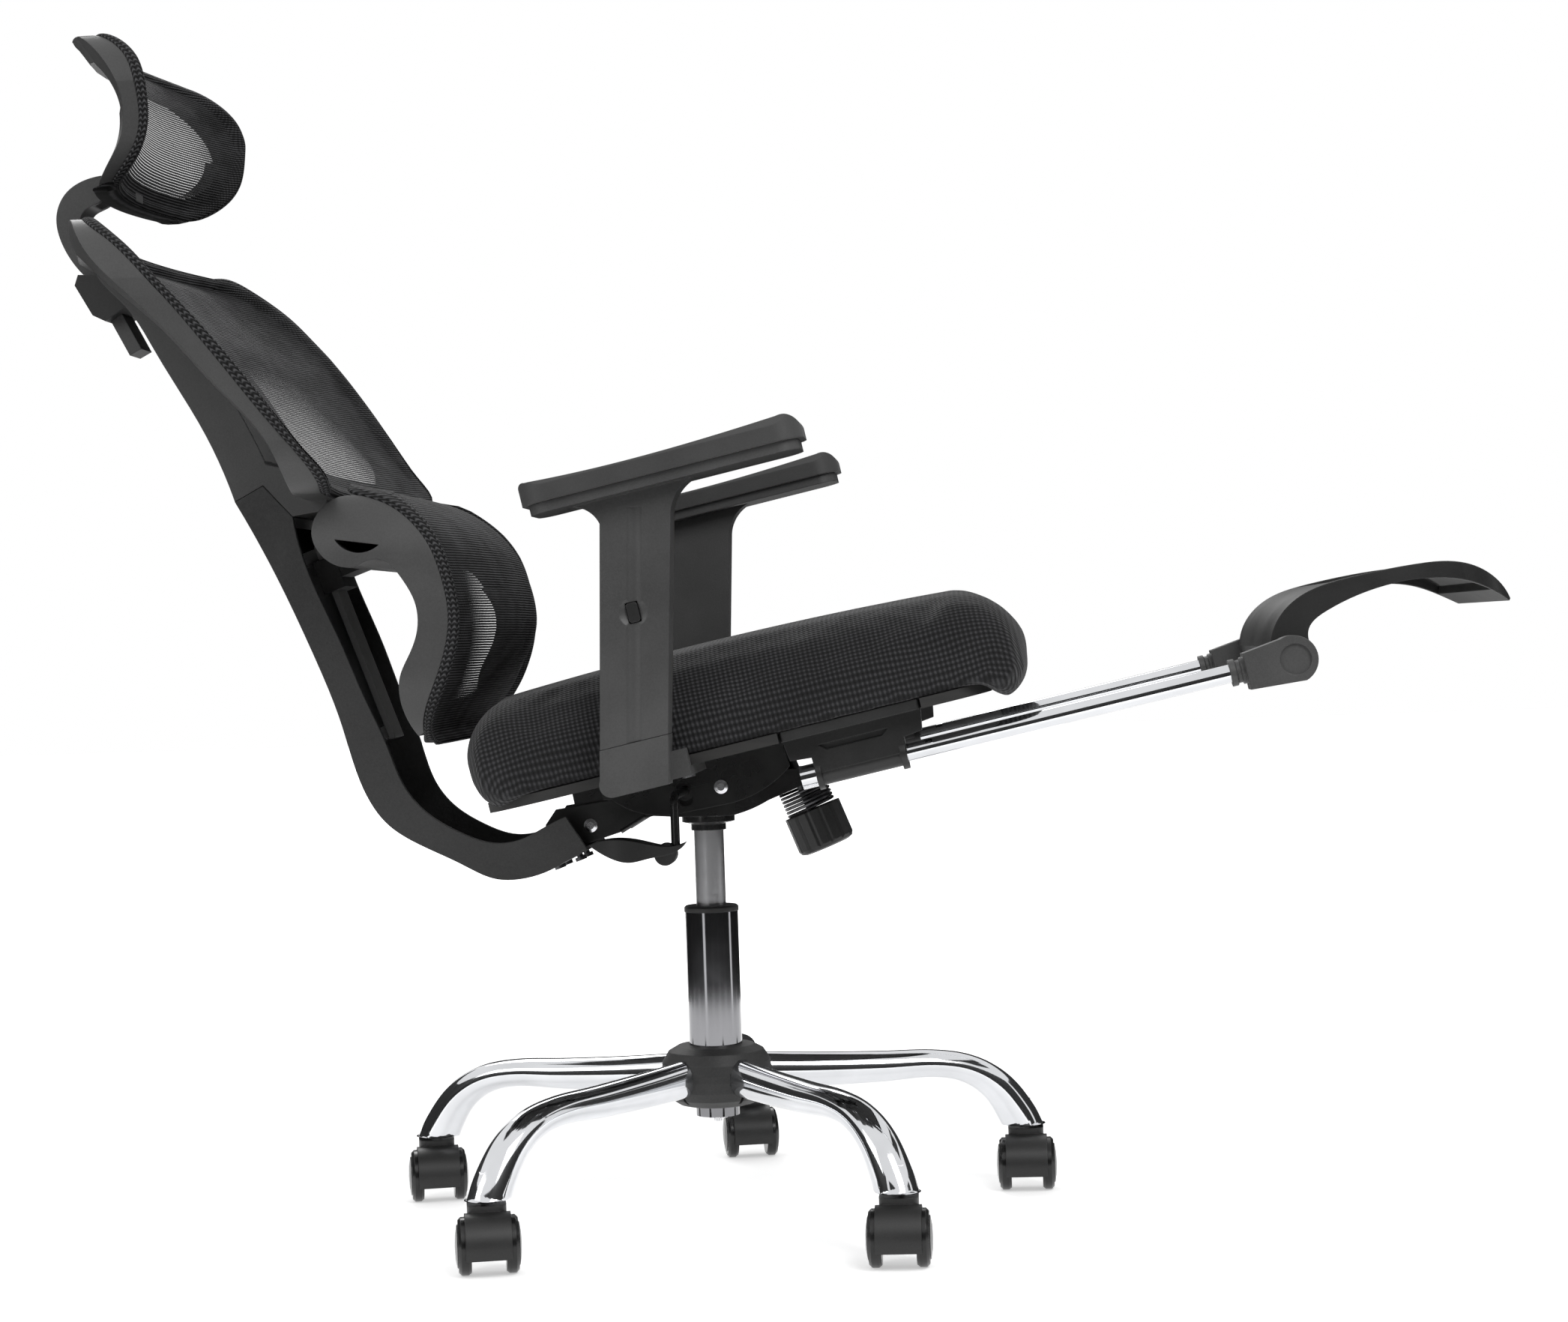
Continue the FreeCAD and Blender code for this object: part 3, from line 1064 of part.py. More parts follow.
def along_rail(start, end, front, rear, half_width):
    """A bar along the lumbar rail, by distance up the rail from its lower end."""
    low = (-302.5, 455.0)
    out = (RAIL_WAY[1], -RAIL_WAY[0])
    corners = []
    for s, depth in ((start, rear), (start, front), (end, front), (end, rear)):
        corners.append((low[0] + RAIL_WAY[0] * s + out[0] * depth, low[1] + RAIL_WAY[1] * s + out[1] * depth))
    return side_slab(polygon(*corners), -half_width, half_width)


def make_lumbar_rail(channel):
    """Flat rail screwed inside the channel, with a rib at each edge for the slider."""
    rail = along_rail(0, 196, 10, 4, 20)
    foot = along_rail(2, 14, 4, -20, 14).fuse(along_rail(184, 195, 4, -20, 14))
    return rail.fuse(foot).cut(channel)


def make_lumbar_slider():
    """Clip that grips the rail's edges and carries the lumbar arms."""
    block = along_rail(150, 182, 20, -2, 26)
    grip = along_rail(140, 200, 10.4, 3.6, 20.4)
    back_gap = along_rail(140, 200, 4, -10, 15)
    clip = block.cut(grip).cut(back_gap)
    neck = along_rail(160, 192, 40, 20, 24)
    return clip.fuse(neck)


# Headrest, in its reclined place

CLAMP_WAY = (-0.46, 0.888)


def headrest_bar_outline(start, end, near, far):
    """Corners of a bar along the headrest's slide, by distance up from its lower end."""
    low = (-532.0, 833.0)
    out = (CLAMP_WAY[1], -CLAMP_WAY[0])
    corners = []
    for s, depth in ((start, far), (start, near), (end, near), (end, far)):
        corners.append((low[0] + CLAMP_WAY[0] * s + out[0] * depth, low[1] + CLAMP_WAY[1] * s + out[1] * depth))
    return polygon(*corners)


def make_headrest_arm():
    """Flat gooseneck: the bar through the clamp, the bend and two lugs for the bolt."""
    bar = side_slab(headrest_bar_outline(0, 92, 6.5, -6.5), -17, 17)
    neck = side_slab(closed(
        [(-580.5, 909.0), (-603, 948), (-604.5, 966.5), (-595, 987), (-569, 1001), (-560, 1002.5)],
        [(-560, 1002.5), (-549.5, 995), (-556, 984)],
        [(-556, 984), (-565, 976), (-577, 970), (-583, 952), (-581, 930), (-569.5, 914.5)]), -17, 17)
    slot = side_slab(rounded_rectangle(-592, -540, 975, 1010, 8), -11.4, 11.4)
    arm = bar.fuse(neck).cut(slot)
    return arm.cut(cross_rod(HEADREST_BOLT, 4.0, -60, 60))


def make_headrest_bolt():
    """Pivot bolt with a hexagon socket head and a nut."""
    bolt = cross_rod(HEADREST_BOLT, 4.0, -21, 21)
    head = cross_rod(HEADREST_BOLT, 6.8, -21, -17.1).fuse(cross_rod(HEADREST_BOLT, 6.8, 17.1, 21))
    return bolt.fuse(head)


def make_headrest_clamp(spine):
    """Block on the back of the spine that the headrest bar slides through."""
    block = side_slab(closed(
        [(-581, 907), (-584.5, 897)], [(-584.5, 897), (-568, 868)], [(-568, 868), (-556, 862)],
        [(-556, 862), (-536, 875)], [(-536, 875), (-532, 884)], [(-532, 884), (-556, 906)]), -32, 32)
    passage = side_slab(headrest_bar_outline(-20, 160, 6.9, -6.9), -17.4, 17.4)
    return block.cut(passage).cut(spine)


# Side curves at the widest part of the headrest, from top to bottom.
HEADREST_TRIM = [(-512, 1121), (-489, 1105), (-475, 1086), (-469.5, 1067), (-466.5, 1048), (-465, 1027),
                 (-467, 1012), (-475, 994), (-492, 974)]
HEADREST_FRONT = [(-523, 1121), (-500, 1105), (-485, 1085), (-479, 1064), (-474.5, 1044), (-473, 1024),
                  (-476, 1010), (-484, 995), (-499.5, 974)]
HEADREST_REAR = [(-509, 974), (-498, 997), (-491, 1011), (-488, 1030), (-491, 1050), (-498, 1068), (-509, 1088),
                 (-533, 1121)]


def headrest_front_view(inset):
    """Front-view outline of the headrest: arched top, rounded lower corners."""
    w = HEADREST_HALF_WIDTH - inset
    low = 975 + inset
    high = 1118 - inset
    return with_mirror_image([
        [(0, low), (w - 78, low)],
        [(w - 78, low), (w - 32, low + 11), (w - 12, low + 42)],
        [(w - 12, low + 42), (w, high - 58)],
        [(w, high - 58), (w - 9, high - 29), (w - 34, high - 9)],
        [(w - 34, high - 9), (w - 90, high - 1), (0, high)],
    ])


def headrest_bow(height):
    """The headrest is drawn back by the same amount at every height."""
    return HEADREST_BOW


def make_headrest_frame():
    """Curved loop behind the headrest mesh with a lug for the pivot bolt."""
    loop = curved_band(HEADREST_FRONT, HEADREST_REAR, HEADREST_HALF_WIDTH, headrest_bow)
    loop = loop.common(front_slab(headrest_front_view(0), -620, -400))
    loop = loop.cut(front_slab(headrest_front_view(20), -620, -400))
    lug = side_slab(closed(
        [(-566.5, 993), (-562.5, 1000.6), (-553, 1000)], [(-553, 1000), (-528, 997)],
        [(-528, 997), (-528, 978)], [(-528, 978), (-555, 984.9)], [(-555, 984.9), (-563, 986.6), (-566.5, 993)]),
        -11, 11)
    return loop.fuse(lug).cut(cross_rod(HEADREST_BOLT, 4.0 + RUNNING_FIT, -60, 60))


def make_headrest_mesh(frame):
    """Mesh panel and knitted border in front of the headrest loop."""
    border = curved_band(HEADREST_TRIM, HEADREST_FRONT[::-1], HEADREST_HALF_WIDTH, headrest_bow)
    border = border.common(front_slab(headrest_front_view(0), -620, -400))
    border = border.cut(front_slab(headrest_front_view(14), -620, -400))
    sheet = [(a + 4, b) for a, b in HEADREST_FRONT]
    panel = bowed_panel(sheet, 2.8, HEADREST_HALF_WIDTH, headrest_bow)
    panel = panel.common(front_slab(headrest_front_view(13), -620, -400))
    return border.fuse(panel).cut(frame)


def main():
    os.makedirs("parts", exist_ok=True)
    legs = make_base_legs()
    save("base_legs", legs)
    save("hub_cover", make_hub_cover(legs))
    save("caster_stems", make_caster_stems())
    hood = caster_hood()
    wheels = {"left": caster_wheel(-1), "right": caster_wheel(1)}
    for index in range(len(LEG_ANGLES)):
        number = str(index + 1)
        save("caster_hood_" + number, place_caster(hood, index))
        for side, wheel in wheels.items():
            save("caster_wheel_" + number + "_" + side, place_caster(wheel, index))
    save("outer_tube", make_outer_tube())
    save("tube_collar", make_tube_collar())
    save("rod_clip_and_bearing", Part.makeCompound([make_retaining_clip(), make_thrust_bearing()]))
    save("piston_rod", make_piston_rod())
    save("gas_cylinder", make_gas_cylinder())
    save("tilt_housing", make_tilt_housing())
    save("lever_bush", make_lever_bush())
    lever = make_lever_rod()
    save("lever_rod", lever)
    save("lever_paddle", make_lever_paddle(lever))
    save("tension_spring", make_tension_spring())
    save("tension_bolt", make_tension_bolt())
    save("tension_knob", make_tension_knob())
    save("seat_bracket", make_seat_bracket())
    save("pivot_pins", make_pivot_pins())
    save("seat_bolts", make_seat_bolts())
    save("seat_board", make_seat_board())
    save("seat_cushion", make_seat_cushion())
    save("arm_bases", Part.makeCompound([make_arm_base(1), make_arm_base(-1)]))
    for side, name in ((1, "left"), (-1, "right")):
        save("arm_stem_" + name, make_arm_stem(side))
        save("arm_pad_" + name, make_arm_pad(side))
        save("arm_button_" + name, make_arm_button(side))
    save("footrest_guides", make_footrest_guides())
    save("footrest_tubes", make_footrest_tubes())
    save("footrest_knuckles", Part.makeCompound([make_footrest_knuckles(), make_tube_boots(), make_footrest_pins()]))
    save("footrest_pad", make_footrest_pad())
    save("back_bracket", make_back_bracket())
    save("link_pin", make_link_pin())
    save("back_bolts", make_back_bolts())
    channel = make_back_frame_lower()
    save("back_frame_lower", channel)
    upper = make_back_frame_upper()
    save("back_frame_upper", upper)
    save("back_mesh", make_back_mesh(upper))
    save("lumbar_rail", make_lumbar_rail(channel))
    save("lumbar_slider", make_lumbar_slider())
    loop = make_lumbar_frame()
    save("lumbar_frame", loop)
    save("lumbar_mesh", make_lumbar_mesh(loop))
    save("headrest_clamp", make_headrest_clamp(upper))
    save("headrest_arm", Part.makeCompound([make_headrest_arm(), make_headrest_bolt()]))
    head_loop = make_headrest_frame()
    save("headrest_frame", head_loop)
    save("headrest_mesh", make_headrest_mesh(head_loop))


main()
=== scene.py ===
import bpy
import math
from mathutils import Matrix, Vector


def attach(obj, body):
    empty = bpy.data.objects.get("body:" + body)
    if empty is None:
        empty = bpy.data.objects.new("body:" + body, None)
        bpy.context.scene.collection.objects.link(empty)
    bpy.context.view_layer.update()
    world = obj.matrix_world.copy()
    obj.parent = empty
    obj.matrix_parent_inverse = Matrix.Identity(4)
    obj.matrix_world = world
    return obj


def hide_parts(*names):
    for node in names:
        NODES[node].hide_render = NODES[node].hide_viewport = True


# Reclining office chair with a slide-out footrest: finishes, knitted mesh, upholstery, camera and light.
# The scene is in metres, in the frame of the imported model: X to the front, Y to the sitter's left, Z up.
# Outlines and sections are in millimetres; make_object scales them by MM.

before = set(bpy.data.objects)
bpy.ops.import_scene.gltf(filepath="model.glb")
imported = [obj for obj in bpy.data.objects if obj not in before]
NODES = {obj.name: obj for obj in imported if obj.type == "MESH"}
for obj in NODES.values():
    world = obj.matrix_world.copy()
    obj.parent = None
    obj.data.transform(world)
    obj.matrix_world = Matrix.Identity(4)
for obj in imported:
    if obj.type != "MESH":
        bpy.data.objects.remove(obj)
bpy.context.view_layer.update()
MM = 0.001

# Camera, fitted to the photograph
FOCAL_PIXELS = 3919.66
IMAGE_WIDTH = 2092.0
SENSOR_WIDTH = 36.0
CAMERA_PLACE = (0.288363, -2.767529, 0.539197)
CAMERA_YAW = 0.0762921756
CAMERA_PITCH = 0.007583826
CAMERA_ROLL = -0.0333094366

# Backrest mesh, with the same curves as its frame: a front curve is a list of heights and places
BACK_HALF_WIDTH = 290.0
BACK_WAIST = 252.0
BACK_LOW = 681.0
BACK_HIGH = 933.0
BACK_BOW = (30.0, 70.0)
BACK_FRAME_FRONT = [(671, -300), (687, -298), (709.9, -311), (751.3, -344), (796, -378.6), (839.7, -415),
                    (872.8, -444.4), (903.7, -470), (920, -485), (937, -490)]
BACK_BORDER_FRONT = [(671, -291), (692, -290), (719, -310.5), (778, -353), (823, -390), (866, -429.6),
                     (893.7, -451), (920, -472), (937, -480)]

# Headrest mesh
HEAD_HALF_WIDTH = 175.0
HEAD_LOW = 975.0
HEAD_HIGH = 1118.0
HEAD_BOW = 42.0
HEAD_FRAME_FRONT = [(974, -499.5), (995, -484), (1010, -476), (1024, -473), (1044, -474.5), (1064, -479),
                    (1085, -485), (1105, -500), (1121, -523)]
HEAD_BORDER_FRONT = [(974, -492), (994, -475), (1012, -467), (1027, -465), (1048, -466.5), (1067, -469.5),
                     (1086, -475), (1105, -489), (1121, -512)]

# Lumbar mesh
LUMBAR_HALF_WIDTH = 212.0
LUMBAR_LOW = 455.0
LUMBAR_HIGH = 692.0
LUMBAR_CORNER = 74.0
LUMBAR_FRAME_FRONT = [(455, -240), (466, -234), (484, -229), (506, -219), (521, -212.5), (545, -205),
                      (571, -202), (605, -207.7), (631.5, -217.5), (656, -237), (675.5, -268), (680, -293.6),
                      (692, -300)]
LUMBAR_BORDER_FRONT = [(455, -226), (463, -228), (480, -223), (502, -211), (518, -204), (543, -196),
                       (571, -193), (607, -199), (636, -209.5), (663, -231), (684, -264), (689, -292),
                       (692, -300)]
LUMBAR_SWELL = 30.0
LUMBAR_SWELL_MIDDLE = 574.0
LUMBAR_SWELL_REACH = 120.0
LUMBAR_SWELL_RIM = 8.0
LUMBAR_SINK = 5.0

# Nets: their gap to the front of the frame, the lift over the top of the spine, and the share by which
# a leaning net is longer than it is high
NET_GAP = 4.5
SPINE_LIFT = 13.0
NET_STRETCH = 1.25
MERGE_DISTANCE = 0.1 * MM

# Knitted border: the inset of each row from the outline, and its share of the way to the border's front
TRIM_SECTION = [(0.0, 0.0), (-1.6, 0.22), (-2.2, 0.5), (-1.8, 0.85), (-0.4, 1.05), (1.6, 1.12)]
TRIM_TUCKED = 0.6
TRIM_ROW = 2.6 * MM

# Base legs: reach, height, pitch in degrees, depth and width of each section
LEG_ANGLES = (90.0, 18.0, 162.0, -54.0, -126.0)
LEG_FOOT = 61.0
LEG_STATIONS = [(28, 131.0, 0, 36, 30), (95, 127.5, 2, 33, 31), (160, 125.5, 1, 30, 32),
                (212, 125.0, 8, 27, 33), (248, 117.5, 24, 28, 34), (276, 99.5, 44, 32, 36),
                (296, 72.0, 64, 37, 38), (305, 50.0, 74, 40, 39)]
LEG_SIDES = 28
LEG_STEPS = 7

# Seat cushion, metres. Its fabric may leave the foam by FOAM_GIVE, but only by BOARD_GIVE below the
# underside level (measured from the tilt pin) and behind the rear place.
SEAT_LEAN = math.radians(12.0)
TILT_PIN = (0.017, 0, 0.403)
UNDERSIDE_LEVEL = 0.046
REAR_PLACE = 0.17
FOAM_GIVE = 0.005
BOARD_GIVE = 0.001
REAR_GAP = 0.007
REMESH_CELL = 0.007
CLOTH_FRAMES = 12

# Fabric patterns
THREAD_PITCH = 2.9 * MM
WALE_PITCH = 2.4 * MM
BRAID_PITCH = 4.6 * MM
BRAID_ROWS = 9.0 * MM
BRAID_SLANT = 2.2 * MM
SEAT_CELL = 4.2 * MM

# Studio, metres: half the side of the floor, and black flags that stand round the set. FLAG_TURNS says
# where in its third of the circle a flag has columns; FLAG_EDGES has its inner and outer radius and height.
FLOOR_HALF = 14
FLAG_PANELS = 3
FLAG_TURNS = (0.04, 0.27, 0.5, 0.73, 0.96)
FLAG_EDGES = ((1.5, 0.02), (3.6, 1.9))


# Node helpers

def new_material(name):
    """An empty material with a principled shader; returns it with its tree parts."""
    material = bpy.data.materials.new(name)
    material.use_nodes = True
    nodes = material.node_tree.nodes
    links = material.node_tree.links
    shader = nodes["Principled BSDF"]
    return material, nodes, links, shader


def math_node(nodes, links, operation, first, second=None, third=None):
    """A maths node; each input is a number or another node's output."""
    node = nodes.new("ShaderNodeMath")
    node.operation = operation
    for slot, value in enumerate((first, second, third)):
        if value is None:
            continue
        if isinstance(value, (int, float)):
            node.inputs[slot].default_value = value
        else:
            links.new(value, node.inputs[slot])
    return node.outputs[0]


def noise(nodes, links, vector, scale, detail=3.0, rough=0.6):
    """Cloudy noise between zero and one."""
    node = nodes.new("ShaderNodeTexNoise")
    node.inputs["Scale"].default_value = scale
    node.inputs["Detail"].default_value = detail
    node.inputs["Roughness"].default_value = rough
    links.new(vector, node.inputs["Vector"])
    return node.outputs["Fac"]


def ramp(nodes, links, value, stops):
    """A colour ramp; each stop is a place and a grey or a colour."""
    node = nodes.new("ShaderNodeValToRGB")
    elements = node.color_ramp.elements
    while len(elements) < len(stops):
        elements.new(0.5)
    for element, (place, colour) in zip(elements, stops):
        element.position = place
        if isinstance(colour, (int, float)):
            colour = (colour, colour, colour)
        element.color = (*colour, 1.0)
    links.new(value, node.inputs[0])
    return node.outputs[0]


def bump(nodes, links, shader, height, distance, edge_radius=0.0):
    """Surface relief; an edge radius also rounds the look of sharp corners."""
    node = nodes.new("ShaderNodeBump")
    node.inputs["Distance"].default_value = distance
    links.new(height, node.inputs["Height"])
    if edge_radius > 0:
        edges = nodes.new("ShaderNodeBevel")
        edges.samples = 4
        edges.inputs["Radius"].default_value = edge_radius
        links.new(edges.outputs[0], node.inputs["Normal"])
    links.new(node.outputs[0], shader.inputs["Normal"])


def object_space(nodes):
    """Coordinates that move with the piece."""
    return nodes.new("ShaderNodeTexCoord").outputs["Object"]


def wave(nodes, links, value, pitch):
    """A sine wave of the given pitch along a coordinate."""
    return math_node(nodes, links, "SINE", math_node(nodes, links, "MULTIPLY", value, 2 * math.pi / pitch))


def plastic(name, dark, light, rough, grain_scale, grain_depth, sheen=0.0):
    """Moulded plastic: fine spark-eroded grain, soft mottling and slightly uneven gloss."""
    material, nodes, links, shader = new_material(name)
    where = object_space(nodes)
    broad = noise(nodes, links, where, 9.0)
    fine = noise(nodes, links, where, grain_scale, 4.0, 0.7)
    mixed = math_node(nodes, links, "ADD", math_node(nodes, links, "MULTIPLY", broad, 0.55),
                      math_node(nodes, links, "MULTIPLY", fine, 0.45))
    links.new(ramp(nodes, links, mixed, [(0.35, dark), (0.65, light)]), shader.inputs["Base Color"])
    gloss = ramp(nodes, links, broad, [(0.3, rough - 0.05), (0.7, rough + 0.07)])
    links.new(gloss, shader.inputs["Roughness"])
    bump(nodes, links, shader, fine, grain_depth, 1.4 * MM)
    shader.inputs["Specular IOR Level"].default_value = 0.45
    shader.inputs["Sheen Weight"].default_value = sheen
    return material


def metal(name, colour, rough, brush=None, smudge=0.05):
    """Metal with faint smudges; brush stretches fine marks along one axis."""
    material, nodes, links, shader = new_material(name)
    where = object_space(nodes)
    shader.inputs["Metallic"].default_value = 1.0
    cloud = noise(nodes, links, where, 14.0)
    darker = tuple(c * 0.9 for c in colour)
    links.new(ramp(nodes, links, cloud, [(0.35, darker), (0.65, colour)]), shader.inputs["Base Color"])
    links.new(ramp(nodes, links, cloud, [(0.3, rough), (0.75, rough + smudge)]), shader.inputs["Roughness"])
    if brush:
        mapping = nodes.new("ShaderNodeMapping")
        mapping.inputs["Scale"].default_value = brush
        links.new(where, mapping.inputs["Vector"])
        marks = noise(nodes, links, mapping.outputs[0], 1.0, 5.0, 0.75)
        bump(nodes, links, shader, marks, 0.00012)
    return material


def painted_steel(name):
    """Black stoved paint on pressed steel: glossy with slight orange peel."""
    material, nodes, links, shader = new_material(name)
    where = object_space(nodes)
    peel = noise(nodes, links, where, 420.0, 2.0, 0.5)
    broad = noise(nodes, links, where, 18.0)
    links.new(ramp(nodes, links, broad, [(0.3, 0.008), (0.7, 0.014)]), shader.inputs["Base Color"])
    links.new(ramp(nodes, links, broad, [(0.3, 0.24), (0.7, 0.34)]), shader.inputs["Roughness"])
    shader.inputs["Coat Weight"].default_value = 0.35
    shader.inputs["Coat Roughness"].default_value = 0.12
    bump(nodes, links, shader, peel, 0.00008, 1.0 * MM)
    return material


def raw_board(name):
    """Plywood board under the seat, painted dark on its faces."""
    material, nodes, links, shader = new_material(name)
    where = object_space(nodes)
    mapping = nodes.new("ShaderNodeMapping")
    mapping.inputs["Scale"].default_value = (4.0, 40.0, 160.0)
    links.new(where, mapping.inputs["Vector"])
    grain = noise(nodes, links, mapping.outputs[0], 1.0, 4.0, 0.6)
    links.new(ramp(nodes, links, grain, [(0.3, (0.010, 0.010, 0.010)), (0.7, (0.022, 0.021, 0.020))]),
              shader.inputs["Base Color"])
    shader.inputs["Roughness"].default_value = 0.62
    bump(nodes, links, shader, grain, 0.0001)
    return material


def knitted_seat(name):
    """Coarse three-layer knit of the seat: small diagonal cells in a soft black yarn."""
    material, nodes, links, shader = new_material(name)
    where = object_space(nodes)
    level = nodes.new("ShaderNodeMapping")
    level.vector_type = "POINT"
    level.inputs["Rotation"].default_value = (0.0, SEAT_LEAN, 0.0)
    links.new(where, level.inputs["Vector"])
    parts = nodes.new("ShaderNodeSeparateXYZ")
    links.new(level.outputs[0], parts.inputs[0])
    run, y, height_up = parts.outputs
    # the cells keep their size where the fabric turns down over the sides
    across = math_node(nodes, links, "SUBTRACT", math_node(nodes, links, "ABSOLUTE", y), height_up)
    first = wave(nodes, links, math_node(nodes, links, "ADD", run, across), 2 * SEAT_CELL)
    second = wave(nodes, links, math_node(nodes, links, "SUBTRACT", run, across), 2 * SEAT_CELL)
    cell = math_node(nodes, links, "MULTIPLY", first, second)
    fuzz = noise(nodes, links, where, 900.0, 2.0, 0.7)
    height = math_node(nodes, links, "ADD", cell, math_node(nodes, links, "MULTIPLY", fuzz, 0.9))
    broad = noise(nodes, links, where, 7.0)
    mottle = math_node(nodes, links, "MULTIPLY", broad, 0.55)
    # painted shade in the hollows of the cells and painted highlights on the raised yarn, from the relief,
    # over random mottling
    painted_relief_shade_and_mottle = math_node(nodes, links, "MULTIPLY_ADD", height, 0.34, mottle)
    links.new(ramp(nodes, links, painted_relief_shade_and_mottle, [(0.05, (0.004, 0.004, 0.004)), (0.45, (0.016, 0.016, 0.017)),
                                        (0.9, (0.070, 0.070, 0.074))]), shader.inputs["Base Color"])
    shader.inputs["Roughness"].default_value = 0.88
    shader.inputs["Specular IOR Level"].default_value = 0.25
    shader.inputs["Sheen Weight"].default_value = 0.12
    shader.inputs["Sheen Roughness"].default_value = 0.4
    bump(nodes, links, shader, height, 0.0005)
    return material


def knitted_net(name):
    """Stretched net: horizontal threads on thin wales, see-through where the open attribute is high."""
    material, nodes, links, shader = new_material(name)
    flat = nodes.new("ShaderNodeUVMap")
    parts = nodes.new("ShaderNodeSeparateXYZ")
    links.new(flat.outputs[0], parts.inputs[0])
    u, v, _ = parts.outputs
    wobble = noise(nodes, links, flat.outputs[0], 30.0)
    v_soft = math_node(nodes, links, "ADD", v, math_node(nodes, links, "MULTIPLY", wobble, 0.0012))
    thread = wave(nodes, links, v_soft, THREAD_PITCH)
    wale = wave(nodes, links, u, WALE_PITCH)
    open_share = nodes.new("ShaderNodeAttribute")
    open_share.attribute_name = "open"
    # a hole shows between threads where the cloth is open, and between wales
    room = math_node(nodes, links, "MULTIPLY", open_share.outputs["Fac"], 1.7)
    gap = math_node(nodes, links, "SUBTRACT", room, math_node(nodes, links, "ADD", thread, 1.0))
    hole = math_node(nodes, links, "MULTIPLY", math_node(nodes, links, "GREATER_THAN", gap, 0.0),
                     math_node(nodes, links, "GREATER_THAN", wale, -0.55))
    height = math_node(nodes, links, "ADD", thread, math_node(nodes, links, "MULTIPLY", wale, 0.35))
    mottle = math_node(nodes, links, "MULTIPLY", wobble, 0.9)
    # painted shade between the threads and painted highlights on them, from the relief, over random mottling
    painted_relief_shade_and_mottle = math_node(nodes, links, "MULTIPLY_ADD", height, 0.36, mottle)
    links.new(ramp(nodes, links, painted_relief_shade_and_mottle, [(0.1, (0.002, 0.002, 0.002)), (0.5, (0.011, 0.011, 0.012)),
                                        (0.9, (0.075, 0.075, 0.078))]), shader.inputs["Base Color"])
    shader.inputs["Roughness"].default_value = 0.8
    shader.inputs["Specular IOR Level"].default_value = 0.2
    bump(nodes, links, shader, height, 0.0004)
    clear = nodes.new("ShaderNodeBsdfTransparent")
    mix = nodes.new("ShaderNodeMixShader")
    links.new(hole, mix.inputs[0])
    links.new(shader.outputs[0], mix.inputs[1])
    links.new(clear.outputs[0], mix.inputs[2])
    links.new(mix.outputs[0], nodes["Material Output"].inputs["Surface"])
    return material


def braided_trim(name):
    """Knitted border: fat looped stitches in two rows along the edge."""
    material, nodes, links, shader = new_material(name)
    flat = nodes.new("ShaderNodeUVMap")
    parts = nodes.new("ShaderNodeSeparateXYZ")
    links.new(flat.outputs[0], parts.inputs[0])
    u, v, _ = parts.outputs
    fold = math_node(nodes, links, "ABSOLUTE", wave(nodes, links, v, BRAID_ROWS))
    shifted = math_node(nodes, links, "ADD", u, math_node(nodes, links, "MULTIPLY", fold, BRAID_SLANT))
    stitch = wave(nodes, links, shifted, BRAID_PITCH)
    yarn = noise(nodes, links, flat.outputs[0], 900.0, 3.0, 0.7)
    height = math_node(nodes, links, "ADD", math_node(nodes, links, "ADD", stitch, fold),
                       math_node(nodes, links, "MULTIPLY", yarn, 0.8))
    # painted shade between the stitches and painted highlights on the raised loops, from the relief and the
    # yarn fuzz
    painted_relief_shade_and_mottle = math_node(nodes, links, "MULTIPLY", height, 0.4)
    links.new(ramp(nodes, links, painted_relief_shade_and_mottle, [(0.0, (0.003, 0.003, 0.003)), (0.45, (0.018, 0.018, 0.019)),
                                        (0.9, (0.080, 0.080, 0.083))]), shader.inputs["Base Color"])
    shader.inputs["Roughness"].default_value = 0.8
    shader.inputs["Specular IOR Level"].default_value = 0.25
    bump(nodes, links, shader, height, 0.0007)
    return material


# Outlines of the three mesh panels

def value_at(curve, height):
    """Smooth interpolation of a curve given as (height, x) pairs."""
    last = len(curve) - 1
    if height <= curve[0][0]:
        return curve[0][1]
    if height >= curve[last][0]:
        return curve[last][1]
    i = max(k for k in range(last) if curve[k][0] <= height)
    (z0, x0), (z1, x1) = curve[i], curve[i + 1]
    before = curve[i - 1] if i > 0 else curve[i]
    after = curve[i + 2] if i + 2 <= last else curve[i + 1]
    slope0 = (x1 - before[1]) / (z1 - before[0])
    slope1 = (after[1] - x0) / (after[0] - z0)
    t = (height - z0) / (z1 - z0)
    span = z1 - z0
    return ((2 * t ** 3 - 3 * t ** 2 + 1) * x0 + (t ** 3 - 2 * t ** 2 + t) * span * slope0
            + (-2 * t ** 3 + 3 * t ** 2) * x1 + (t ** 3 - t ** 2) * span * slope1)


def arc_points(start, middle, end, count):
    """Points along the circle through three points, without the first."""
    a, b, c = (Vector((p[0], p[1], 0)) for p in (start, middle, end))
    ab, ac = b - a, c - a
    normal = ab.cross(ac)
    sideways = ac.length_squared * normal.cross(ab) + ab.length_squared * ac.cross(normal)
    centre = a + sideways / (2 * normal.length_squared)
    radius = a - centre
    angle = radius.angle(b - centre) + (b - centre).angle(c - centre)
    axis = normal.normalized()
    points = []
    for i in range(1, count + 1):
        spot = centre + Matrix.Rotation(angle * i / count, 3, axis) @ radius
        points.append((spot.x, spot.y))
    return points


def line_points(start, end, count):
    """Evenly spaced points along a line, without the first."""
    return [(start[0] + (end[0] - start[0]) * i / count, start[1] + (end[1] - start[1]) * i / count)
            for i in range(1, count + 1)]


def whole_outline(right):
    """The outline from the right half: right side upwards, then its mirror image downwards."""
    return right + [(-y, z) for y, z in reversed(right[1:-1])]


